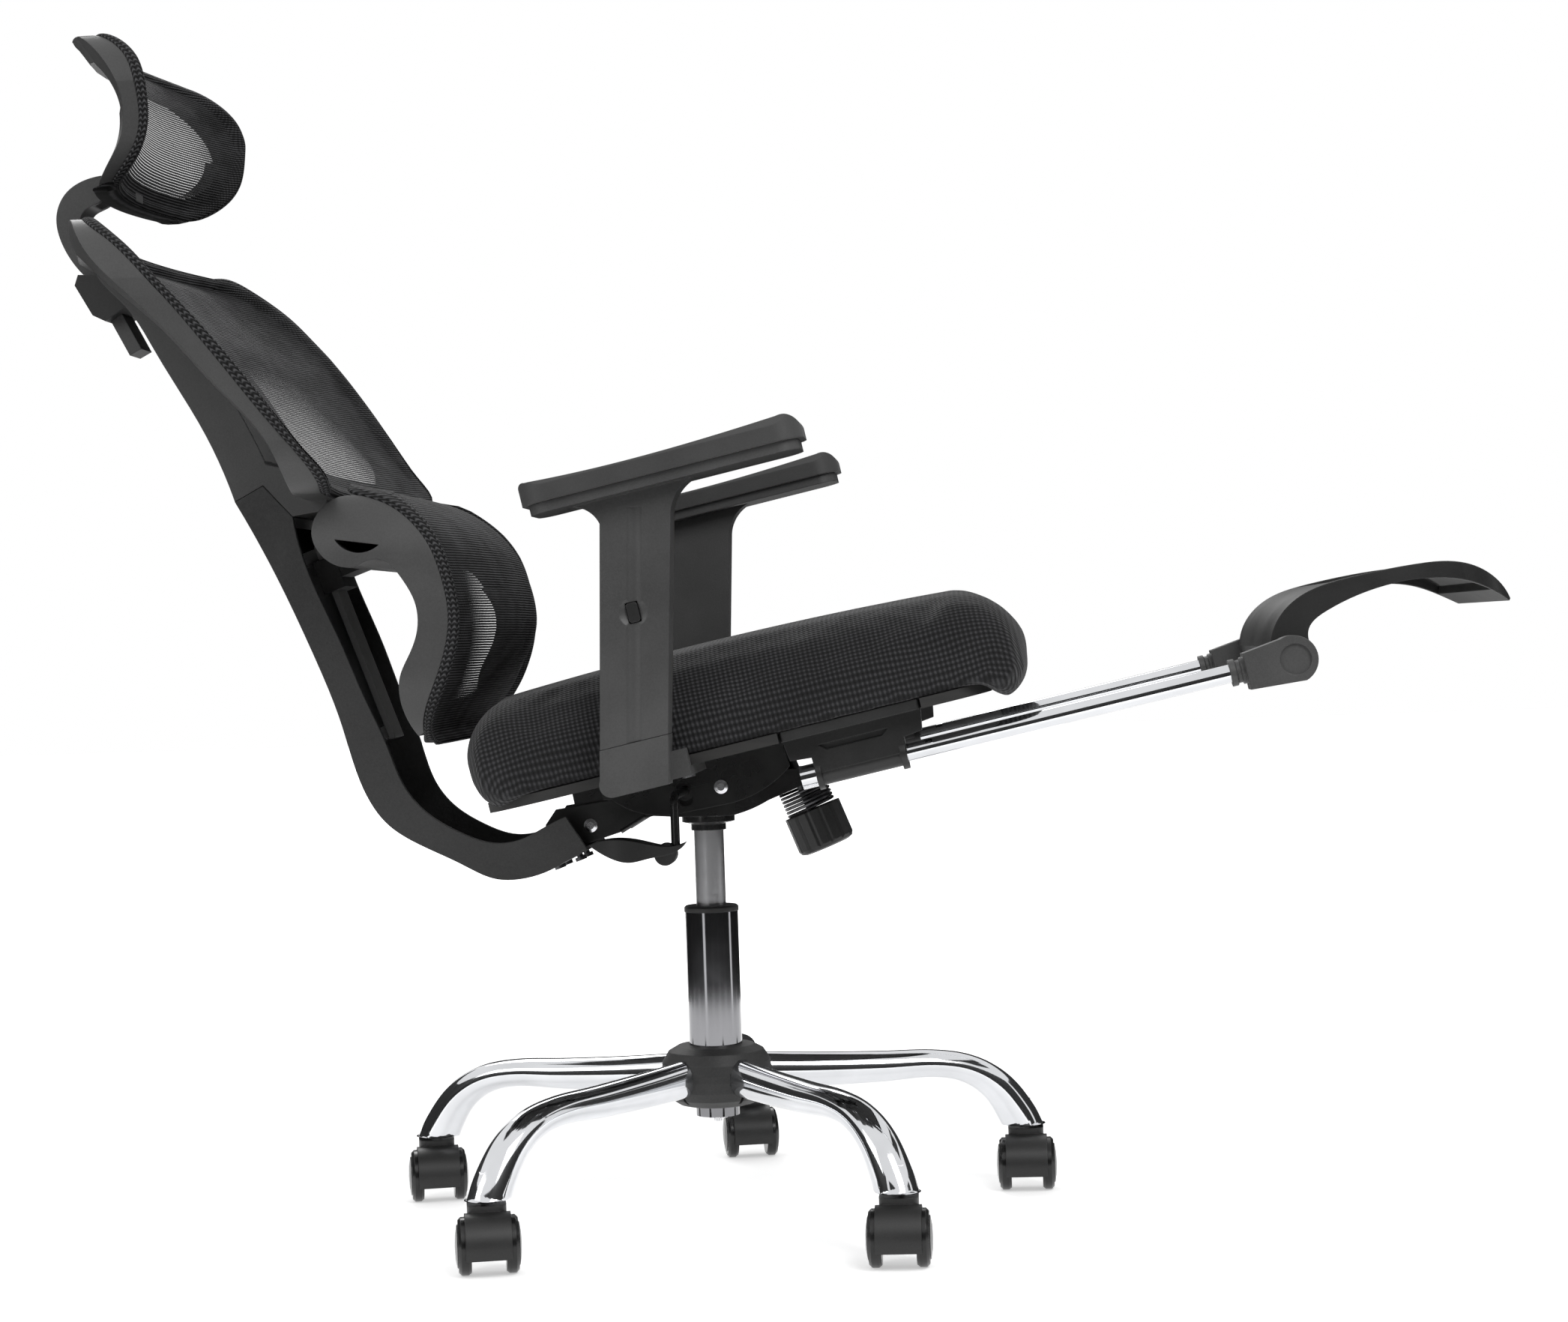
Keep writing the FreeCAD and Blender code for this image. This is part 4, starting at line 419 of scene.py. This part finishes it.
def back_outline(inset):
    """Front view of the back: narrow at the waist, wide and rounded at the shoulders."""
    waist = BACK_WAIST - inset
    shoulder = BACK_HALF_WIDTH - inset
    low = BACK_LOW + inset
    high = BACK_HIGH - inset
    right = [(0, low)]
    right += line_points((0, low), (waist - 45, low), 14)
    right += arc_points((waist - 45, low), (waist - 13, low + 13), (waist, low + 45), 9)
    right += line_points((waist, low + 45), (shoulder, high - 82), 16)
    right += arc_points((shoulder, high - 82), (shoulder - 20, high - 24), (shoulder - 85, high - 5), 14)
    right += line_points((shoulder - 85, high - 5), (0, high), 14)
    return whole_outline(right)


def head_outline(inset):
    """Front view of the headrest: rounded, a little wider at the top."""
    w = HEAD_HALF_WIDTH - inset
    low = HEAD_LOW + inset
    high = HEAD_HIGH - inset
    right = [(0, low)]
    right += line_points((0, low), (w - 78, low), 10)
    right += arc_points((w - 78, low), (w - 32, low + 11), (w - 12, low + 42), 9)
    right += line_points((w - 12, low + 42), (w, high - 58), 6)
    right += arc_points((w, high - 58), (w - 9, high - 29), (w - 34, high - 9), 8)
    right += arc_points((w - 34, high - 9), (w - 90, high - 1), (0, high), 14)
    return whole_outline(right)


def lumbar_outline(inset):
    """Front view of the lumbar loop: a rounded rectangle."""
    w = LUMBAR_HALF_WIDTH - inset
    low = LUMBAR_LOW + inset
    high = LUMBAR_HIGH - inset
    r = LUMBAR_CORNER - 0.7 * inset
    k = r * (1 - math.sqrt(0.5))
    right = [(0, low)]
    right += line_points((0, low), (w - r, low), 10)
    right += arc_points((w - r, low), (w - k, low + k), (w, low + r), 9)
    right += line_points((w, low + r), (w, high - r), 8)
    right += arc_points((w, high - r), (w - k, high - k), (w - r, high), 9)
    right += line_points((w - r, high), (0, high), 10)
    return whole_outline(right)


def back_depth(curve, y, z):
    """Place of a side curve at this width: the back is hollow from side to side."""
    share = (z - BACK_LOW) / (BACK_HIGH - BACK_LOW)
    bow = BACK_BOW[0] + (BACK_BOW[1] - BACK_BOW[0]) * share
    return value_at(curve, z) - bow * (1 - (y / BACK_HALF_WIDTH) ** 2)


def head_depth(curve, y, z):
    """Place of a side curve at this width on the hollow headrest."""
    return value_at(curve, z) - HEAD_BOW * (1 - (y / HEAD_HALF_WIDTH) ** 2)


def lumbar_depth(curve, y, z):
    """The lumbar loop has the same side curve at every width."""
    return value_at(curve, z)


def smooth_step(value, low, high):
    """Zero below low, one above high, with a soft rise between."""
    t = max(0.0, min(1.0, (value - low) / (high - low)))
    return t * t * (3 - 2 * t)


def make_object(name, vertices, faces, uvs=None, open_shares=None):
    """A smooth-shaded mesh object from millimetre points, with flat coordinates in metres."""
    mesh = bpy.data.meshes.new(name)
    mesh.from_pydata([tuple(c * MM for c in v) for v in vertices], [], faces)
    mesh.update()
    if uvs:
        layer = mesh.uv_layers.new(name="flat")
        for loop in mesh.loops:
            layer.data[loop.index].uv = uvs[loop.vertex_index]
    if open_shares:
        attribute = mesh.attributes.new("open", "FLOAT", "POINT")
        for index, value in enumerate(open_shares):
            attribute.data[index].value = value
    for face in mesh.polygons:
        face.use_smooth = True
    thing = bpy.data.objects.new(name, mesh)
    bpy.context.collection.objects.link(thing)
    return thing


def wrap_share(y, half):
    """How far the net wraps round the bar: wholly at the middle of the top and bottom, not at the sides."""
    return 1 - smooth_step(abs(y) / half, 0.66, 0.82)


def net_panel(name, outline_at, depth, curves, surface, inset, reaches, rows, open_at, material):
    """Net from the edge of the frame to the middle of the panel.

    At the middle of the top and bottom the fabric starts behind the bar and wraps round it.
    """
    frame_curve, border_curve = curves
    half = max(y for y, _ in outline_at(0))
    vertices, uvs, opens, rings = [], [], [], []
    rim = outline_at(inset)
    middle_z = sum(z for _, z in rim) / len(rim)
    reach_low, reach_high = reaches

    def add_ring(outline, place, opening):
        ring = []
        for y, z in outline:
            ring.append(len(vertices))
            vertices.append((place(y, z), y, z))
            uvs.append((y * MM, z * NET_STRETCH * MM))
            opens.append(opening(y, z))
        rings.append(ring)

    def closed_weave(y, z):
        return 0.0

    def at_share(share, behind=0.0):
        def place(y, z):
            rear = depth(frame_curve, y, z)
            reach = reach_low if z < middle_z else reach_high
            front = rear + (depth(border_curve, y, z) - rear) * share
            return front - behind * reach * wrap_share(y, half)
        return place

    for outward, behind in ((-0.3, 1.0), (-1.4, 0.9), (-1.4, 0.4)):
        add_ring(outline_at(outward), at_share(1.0, behind), closed_weave)
    # spread the wrapped rings only where the fabric really goes round the bar
    for ring in rings:
        for index, (y, z) in zip(ring, outline_at(1.0)):
            x, y_out, z_out = vertices[index]
            w = wrap_share(y_out, half)
            vertices[index] = (x, y + (y_out - y) * w, z + (z_out - z) * w)
    # over the front of the bar and down to the rim
    add_ring(outline_at(1.0), at_share(1.08), closed_weave)
    add_ring(outline_at(inset * 0.45), at_share(1.12), closed_weave)
    add_ring(outline_at(inset * 0.8), at_share(0.8), closed_weave)
    # from the rim the rings shrink to a short line across the middle
    half_height = (max(z for _, z in rim) - min(z for _, z in rim)) / 2
    spread = max(y for y, _ in rim)
    core = max(0.0, spread - half_height)
    for step in range(rows + 1):
        t = step / rows
        shrunk = [(y + (max(-core, min(core, y * core / spread)) - y) * t, z + (middle_z - z) * t)
                  for y, z in rim]
        add_ring(shrunk, surface, open_at)
    faces = []
    for outer, inner in zip(rings, rings[1:]):
        for i in range(len(rim)):
            j = (i + 1) % len(rim)
            faces.append((outer[i], outer[j], inner[j], inner[i]))
    panel = make_object(name, vertices, faces, uvs, opens)
    panel.data.materials.append(material)
    weld = panel.modifiers.new("close the middle", "WELD")
    weld.merge_threshold = MERGE_DISTANCE
    return panel


def trim_band(name, outline_at, depth, curves, material):
    """Knitted border up the outer side of the frame and over its front edge."""
    rear_curve, front_curve = curves
    loops = [outline_at(inset) for inset, _ in TRIM_SECTION]
    tucked = outline_at(TRIM_TUCKED)
    half = max(y for y, _ in loops[0])
    count = len(loops[0])
    vertices, uvs, faces = [], [], []
    run = [0.0]
    for i in range(1, count + 1):
        run.append(run[-1] + math.dist(loops[0][i % count], loops[0][i - 1]))
    for k, (_, forward) in enumerate(TRIM_SECTION):
        for i in range(count + 1):
            # under the wrapped net the border is tucked in
            tuck = wrap_share(loops[k][i % count][0], half)
            y, z = (a + (b - a) * tuck for a, b in zip(loops[k][i % count], tucked[i % count]))
            rear = depth(rear_curve, y, z)
            front = depth(front_curve, y, z)
            vertices.append((rear + (front - rear) * forward, y, z))
            uvs.append((run[i] * MM, k * TRIM_ROW))
    row = count + 1
    for k in range(len(TRIM_SECTION) - 1):
        for i in range(count):
            a = k * row + i
            faces.append((a, a + 1, a + 1 + row, a + row))
    band = make_object(name, vertices, faces, uvs)
    band.data.materials.append(material)
    band.modifiers.new("smooth", "SUBSURF").render_levels = 2
    return band


def lumbar_surface(y, z):
    """The net over the lumbar loop swells forward in its middle."""
    base = value_at(LUMBAR_BORDER_FRONT, z) - LUMBAR_SINK
    wide = 1 - (y / (LUMBAR_HALF_WIDTH - LUMBAR_SWELL_RIM)) ** 2
    tall = 1 - ((z - LUMBAR_SWELL_MIDDLE) / LUMBAR_SWELL_REACH) ** 2
    swell = LUMBAR_SWELL * max(0.0, wide) ** 0.8 * max(0.0, tall) ** 0.9
    return base + swell * smooth_step(z, 462, 560)


def back_surface(y, z):
    """The net runs straight in front of the top of the spine, where the frame is drawn back most."""
    upper = smooth_step(z, 800, 850) * (1 - smooth_step(z, 905, 925))
    over_spine = (1 - smooth_step(abs(y), 90, 220)) * upper
    return back_depth(BACK_FRAME_FRONT, y, z) + NET_GAP + SPINE_LIFT * over_spine


def head_surface(y, z):
    """The headrest net, just in front of its loop."""
    return head_depth(HEAD_FRAME_FRONT, y, z) + NET_GAP


def back_open(y, z):
    """The back is see-through only low down in its middle."""
    inside = 1 - smooth_step(abs(y), 60, 170)
    return 0.16 * inside * smooth_step(z, 690, 712) * (1 - smooth_step(z, 720, 820))


def head_open(y, z):
    """The headrest is see-through in its middle."""
    across = 1 - smooth_step(abs(y), 80, 150)
    return 0.26 * across * smooth_step(z, 985, 1020) * (1 - smooth_step(z, 1050, 1100))


def lumbar_open(y, z):
    """The lumbar net is see-through on each side of its middle."""
    reach = math.hypot((abs(y) - 80) / 95.0, (z - 578) / 85.0)
    return 0.24 * (1 - smooth_step(reach, 0.4, 1.0))


# The seat cushion

def make_cushion(material):
    """Crowned upholstery from the cushion's own solid: remeshed, swelled as cloth, then smoothed."""
    source = NODES["seat_cushion"]
    mesh = source.data.copy()
    cushion = bpy.data.objects.new("seat_upholstery", mesh)
    bpy.context.collection.objects.link(cushion)
    cushion.matrix_world = source.matrix_world
    mesh.materials.clear()
    bpy.context.view_layer.objects.active = cushion
    for thing in bpy.context.selected_objects:
        thing.select_set(False)
    cushion.select_set(True)
    remesh = cushion.modifiers.new("even cells", "REMESH")
    remesh.mode = "VOXEL"
    remesh.voxel_size = REMESH_CELL
    bpy.ops.object.modifier_apply(modifier=remesh.name)
    rest = [v.co.copy() for v in cushion.data.vertices]
    relax = cushion.modifiers.new("soften edges", "SMOOTH")
    relax.factor = 0.5
    relax.iterations = 6
    bpy.ops.object.modifier_apply(modifier=relax.name)
    cloth = cushion.modifiers.new("fabric", "CLOTH")
    cloth.settings.quality = 4
    cloth.settings.mass = 0.25
    cloth.settings.use_pressure = True
    cloth.settings.uniform_pressure_force = 3.0
    cloth.settings.effector_weights.gravity = 0.0
    cloth.settings.tension_stiffness = 25
    cloth.settings.compression_stiffness = 25
    scene = bpy.context.scene
    for step in range(1, CLOTH_FRAMES + 1):
        scene.frame_set(step)
    bpy.ops.object.modifier_apply(modifier=cloth.name)
    scene.frame_set(1)
    # the foam holds the fabric close to its own surface, and the board keeps the underside flat
    seat_up = Vector((-math.sin(SEAT_LEAN), 0, math.cos(SEAT_LEAN)))
    pin = Vector(TILT_PIN)
    for vertex, start in zip(cushion.data.vertices, rest):
        moved = vertex.co - start
        limit = FOAM_GIVE
        if (start - pin).dot(seat_up) < UNDERSIDE_LEVEL or start.x < -REAR_PLACE:
            limit = BOARD_GIVE
        if moved.length > limit:
            vertex.co = start + moved.normalized() * limit
        # the rear stays clear of the lumbar loop when that slides down
        vertex.co.x += REAR_GAP * smooth_step(-start.x, REAR_PLACE - 0.005, REAR_PLACE + 0.035)
    for face in cushion.data.polygons:
        face.use_smooth = True
    cushion.data.materials.append(material)
    rounding = cushion.modifiers.new("round", "SUBSURF")
    rounding.render_levels = 1
    rounding.levels = 1
    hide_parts("seat_cushion")
    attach(cushion, "seat_carrier")


def leg_ring(reach, height, pitch, depth, width):
    """One oval of a leg, square to its middle line."""
    ring = []
    for i in range(LEG_SIDES):
        angle = 2 * math.pi * i / LEG_SIDES
        rise = depth / 2 * math.sin(angle)
        across = width / 2 * math.cos(angle)
        ring.append((reach + math.sin(pitch) * rise, across, height + math.cos(pitch) * rise))
    return ring


def leg_rings():
    """The ovals of one leg along +X, on a smooth curve through the stations."""
    last = len(LEG_STATIONS) - 1
    rings = []
    for i in range(last):
        before = LEG_STATIONS[max(i - 1, 0)]
        here, after = LEG_STATIONS[i], LEG_STATIONS[i + 1]
        beyond = LEG_STATIONS[min(i + 2, last)]
        for k in range(LEG_STEPS + (i == last - 1)):
            t = k / LEG_STEPS
            reach, height, pitch, depth, width = [
                0.5 * (2 * b + (c - a) * t + (2 * a - 5 * b + 4 * c - d) * t ** 2
                       + (3 * b - a - 3 * c + d) * t ** 3)
                for a, b, c, d in zip(before, here, after, beyond)]
            rings.append(leg_ring(reach, height, math.radians(pitch), depth, width))
    return rings


def make_legs(material):
    """The chromed star base with smoothly bent oval legs, in place of its faceted solid."""
    vertices, faces = [], []
    rings = leg_rings()
    for turn in LEG_ANGLES:
        start = len(vertices)
        angle = math.radians(turn)
        for ring in rings:
            for x, y, z in ring:
                vertices.append((x * math.cos(angle) - y * math.sin(angle),
                                 x * math.sin(angle) + y * math.cos(angle), max(z, LEG_FOOT)))
        for r in range(len(rings) - 1):
            for j in range(LEG_SIDES):
                a = start + r * LEG_SIDES + j
                b = start + r * LEG_SIDES + (j + 1) % LEG_SIDES
                faces.append((a, b, b + LEG_SIDES, a + LEG_SIDES))
        foot = start + (len(rings) - 1) * LEG_SIDES
        faces.append(tuple(foot + j for j in range(LEG_SIDES)))
    legs = make_object("base_star", vertices, faces)
    legs.data.materials.append(material)
    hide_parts("base_legs")
    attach(legs, "base")


# Finishes. A plastic has a dark and a light grey, a roughness, a grain scale and a grain depth in metres;
# a metal has a colour and a roughness.

satin_grey = plastic("satin_grey_plastic", 0.040, 0.062, 0.46, 620.0, 0.00010)
frame_black = plastic("grained_black_plastic", 0.018, 0.036, 0.55, 480.0, 0.00022)
moulded_black = plastic("moulded_black_plastic", 0.012, 0.022, 0.42, 700.0, 0.00008)
gloss_black = plastic("gloss_black_plastic", 0.007, 0.011, 0.22, 260.0, 0.00002)
shell_black = plastic("satin_black_shell", 0.012, 0.020, 0.40, 420.0, 0.00006)
rail_grey = plastic("grey_plastic", 0.15, 0.19, 0.42, 500.0, 0.00008)
arm_soft = plastic("soft_touch_pad", 0.030, 0.044, 0.50, 800.0, 0.00010, sheen=0.1)
chrome = metal("polished_chrome", (0.72, 0.73, 0.75), 0.05)
# a painted dark reflection: chrome for the outer tube with its colour darkened
chrome_painted_dark = metal("chrome_with_painted_dark_reflection", (0.24, 0.24, 0.25), 0.07)
brushed = metal("brushed_cylinder", (0.38, 0.38, 0.39), 0.30, brush=(60.0, 60.0, 2600.0))
bright = metal("zinc_plated_steel", (0.78, 0.78, 0.80), 0.22)
spring_black = metal("black_spring_steel", (0.10, 0.10, 0.105), 0.34)
pressed_black = painted_steel("stoved_black_paint")
board = raw_board("dark_plywood")
seat_knit = knitted_seat("seat_knit")
net = knitted_net("stretched_net")
braid = braided_trim("knitted_border")

HOODS = [f"caster_hood_{n}" for n in range(1, 6)]
WHEELS = [f"caster_wheel_{n}_{side}" for n in range(1, 6) for side in ("left", "right")]
FINISHES = {
    chrome: ["base_legs", "footrest_tubes"],
    chrome_painted_dark: ["outer_tube"],
    brushed: ["gas_cylinder"],
    bright: ["rod_clip_and_bearing", "caster_stems", "piston_rod", "pivot_pins", "seat_bolts", "link_pin"],
    spring_black: ["tension_spring", "tension_bolt", "back_bolts"],
    pressed_black: ["tilt_housing", "seat_bracket", "back_bracket", "lever_rod"],
    moulded_black: ["tube_collar", "lever_bush", "lever_paddle", "tension_knob", "footrest_guides",
                    "headrest_clamp", "arm_button_left", "arm_button_right"] + HOODS,
    gloss_black: WHEELS,
    frame_black: ["hub_cover", "back_frame_lower", "lumbar_slider"],
    satin_grey: ["back_frame_upper", "lumbar_frame", "headrest_frame", "headrest_arm", "arm_bases",
                 "arm_stem_left", "arm_stem_right", "footrest_knuckles"],
    arm_soft: ["arm_pad_left", "arm_pad_right"],
    shell_black: ["footrest_pad"],
    rail_grey: ["lumbar_rail"],
    board: ["seat_board"],
}
for finish, names in FINISHES.items():
    for name in names:
        data = NODES[name].data
        data.materials.clear()
        data.materials.append(finish)

# Mesh panels and their borders. Each net has the inset of its rim, its wrap at the bottom and top bar,
# and its number of rows.

back_curves = (BACK_FRAME_FRONT, BACK_BORDER_FRONT)
back_panel = net_panel("back_net", back_outline, back_depth, back_curves, back_surface,
                       12, (6, 18), 26, back_open, net)
back_trim = trim_band("back_border", back_outline, back_depth, back_curves, braid)
head_curves = (HEAD_FRAME_FRONT, HEAD_BORDER_FRONT)
head_panel = net_panel("headrest_net", head_outline, head_depth, head_curves, head_surface,
                       9, (22, 22), 18, head_open, net)
head_trim = trim_band("headrest_border", head_outline, head_depth, head_curves, braid)
lumbar_curves = (LUMBAR_FRAME_FRONT, LUMBAR_BORDER_FRONT)
lumbar_panel = net_panel("lumbar_net", lumbar_outline, lumbar_depth, lumbar_curves, lumbar_surface,
                         9, (6, 0), 22, lumbar_open, net)
lumbar_trim = trim_band("lumbar_border", lumbar_outline, lumbar_depth, lumbar_curves, braid)
for panel, trim, node, body in ((back_panel, back_trim, "back_mesh", "back"),
                                (head_panel, head_trim, "headrest_mesh", "headrest"),
                                (lumbar_panel, lumbar_trim, "lumbar_mesh", "lumbar")):
    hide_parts(node)
    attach(panel, body)
    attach(trim, body)

make_cushion(seat_knit)
make_legs(chrome)


# Floor, light and camera

def camera_or_mirror(nodes, links):
    """One for rays that show the background itself: straight, mirrored or through glass."""
    path = nodes.new("ShaderNodeLightPath")
    return math_node(nodes, links, "MAXIMUM", path.outputs["Is Camera Ray"],
                     math_node(nodes, links, "MAXIMUM", path.outputs["Is Glossy Ray"],
                               path.outputs["Is Transmission Ray"]))


def make_floor():
    """White floor that keeps a soft shadow near the chair and fades into the backdrop."""
    mesh = bpy.data.meshes.new("floor")
    corners = [(x * FLOOR_HALF, y * FLOOR_HALF, 0) for x, y in ((-1, -1), (1, -1), (1, 1), (-1, 1))]
    mesh.from_pydata(corners, [], [(0, 1, 2, 3)])
    floor = bpy.data.objects.new("floor", mesh)
    bpy.context.collection.objects.link(floor)
    material, nodes, links, shader = new_material("pale_floor")
    where = object_space(nodes)
    faint = noise(nodes, links, where, 3.0)
    links.new(ramp(nodes, links, faint, [(0.0, 0.90), (1.0, 0.93)]), shader.inputs["Base Color"])
    shader.inputs["Roughness"].default_value = 0.9
    shader.inputs["Specular IOR Level"].default_value = 0.1
    shader.inputs["Emission Color"].default_value = (1.0, 1.0, 1.0, 1.0)
    distance = nodes.new("ShaderNodeVectorMath")
    distance.operation = "LENGTH"
    links.new(where, distance.inputs[0])
    far = ramp(nodes, links, math_node(nodes, links, "DIVIDE", distance.outputs["Value"], 4.0),
               [(0.18, 0.45), (0.5, 1.0)])
    links.new(math_node(nodes, links, "MULTIPLY", camera_or_mirror(nodes, links), far),
              shader.inputs["Emission Strength"])
    mesh.materials.append(material)


def make_flags():
    """Black studio flags round the set: they give polished metal its dark bands, and light nothing."""
    vertices, faces = [], []
    columns = len(FLAG_TURNS)
    for i in range(FLAG_PANELS):
        for radius, height in FLAG_EDGES:
            for turn in FLAG_TURNS:
                angle = 2 * math.pi * (i + turn) / FLAG_PANELS
                vertices.append((radius * math.cos(angle), radius * math.sin(angle), height))
        start = 2 * columns * i
        for k in range(columns - 1):
            faces.append((start + k, start + k + 1, start + columns + k + 1, start + columns + k))
    mesh = bpy.data.meshes.new("flags")
    mesh.from_pydata(vertices, [], faces)
    flags = bpy.data.objects.new("flags", mesh)
    bpy.context.collection.objects.link(flags)
    material, nodes, links, shader = new_material("black_flag_cloth")
    weave = noise(nodes, links, object_space(nodes), 40.0)
    links.new(ramp(nodes, links, weave, [(0.3, 0.010), (0.7, 0.016)]), shader.inputs["Base Color"])
    shader.inputs["Roughness"].default_value = 1.0
    mesh.materials.append(material)
    flags.visible_camera = False
    flags.visible_diffuse = False
    flags.visible_shadow = False


def make_world():
    """White backdrop that lights the chair at half its strength."""
    world = bpy.data.worlds.new("studio")
    bpy.context.scene.world = world
    world.use_nodes = True
    nodes = world.node_tree.nodes
    links = world.node_tree.links
    background = nodes["Background"]
    background.inputs["Color"].default_value = (1.0, 1.0, 1.0, 1.0)
    strength = math_node(nodes, links, "MULTIPLY_ADD", camera_or_mirror(nodes, links), 0.5, 0.5)
    links.new(strength, background.inputs["Strength"])


def soft_box(name, place, target, size, power):
    """A rectangular lamp aimed at a point."""
    lamp = bpy.data.lights.new(name, "AREA")
    lamp.shape = "RECTANGLE"
    lamp.size = size[0]
    lamp.size_y = size[1]
    lamp.energy = power
    thing = bpy.data.objects.new(name, lamp)
    thing.location = place
    way = Vector(target) - Vector(place)
    thing.rotation_euler = way.to_track_quat("-Z", "Y").to_euler()
    bpy.context.collection.objects.link(thing)


def make_camera():
    """The camera of the photograph, turned by yaw, then pitch, then roll."""
    flat_forward = Vector((-math.sin(CAMERA_YAW), math.cos(CAMERA_YAW), 0))
    flat_right = Vector((math.cos(CAMERA_YAW), math.sin(CAMERA_YAW), 0))
    upright = Vector((0, 0, 1))
    forward = flat_forward * math.cos(CAMERA_PITCH) - upright * math.sin(CAMERA_PITCH)
    up = upright * math.cos(CAMERA_PITCH) + flat_forward * math.sin(CAMERA_PITCH)
    right = flat_right * math.cos(CAMERA_ROLL) + up * math.sin(CAMERA_ROLL)
    up = up * math.cos(CAMERA_ROLL) - flat_right * math.sin(CAMERA_ROLL)
    data = bpy.data.cameras.new("camera")
    data.sensor_fit = "HORIZONTAL"
    data.sensor_width = SENSOR_WIDTH
    data.lens = FOCAL_PIXELS / IMAGE_WIDTH * SENSOR_WIDTH
    data.clip_end = 50.0
    camera = bpy.data.objects.new("camera", data)
    turn = Matrix((right, up, -forward)).transposed()
    camera.matrix_world = Matrix.Translation(CAMERA_PLACE) @ turn.to_4x4()
    bpy.context.collection.objects.link(camera)
    bpy.context.scene.camera = camera


make_floor()
make_flags()
make_world()
soft_box("key", (1.6, -2.2, 2.6), (0.0, 0.0, 0.5), (1.6, 1.6), 55.0)
soft_box("fill", (-2.4, -1.6, 1.5), (-0.1, 0.0, 0.6), (1.4, 1.8), 22.0)
soft_box("rim", (-0.8, 2.4, 2.4), (0.0, 0.0, 0.6), (1.8, 1.2), 30.0)
make_camera()
bpy.context.scene.view_settings.view_transform = "Standard"
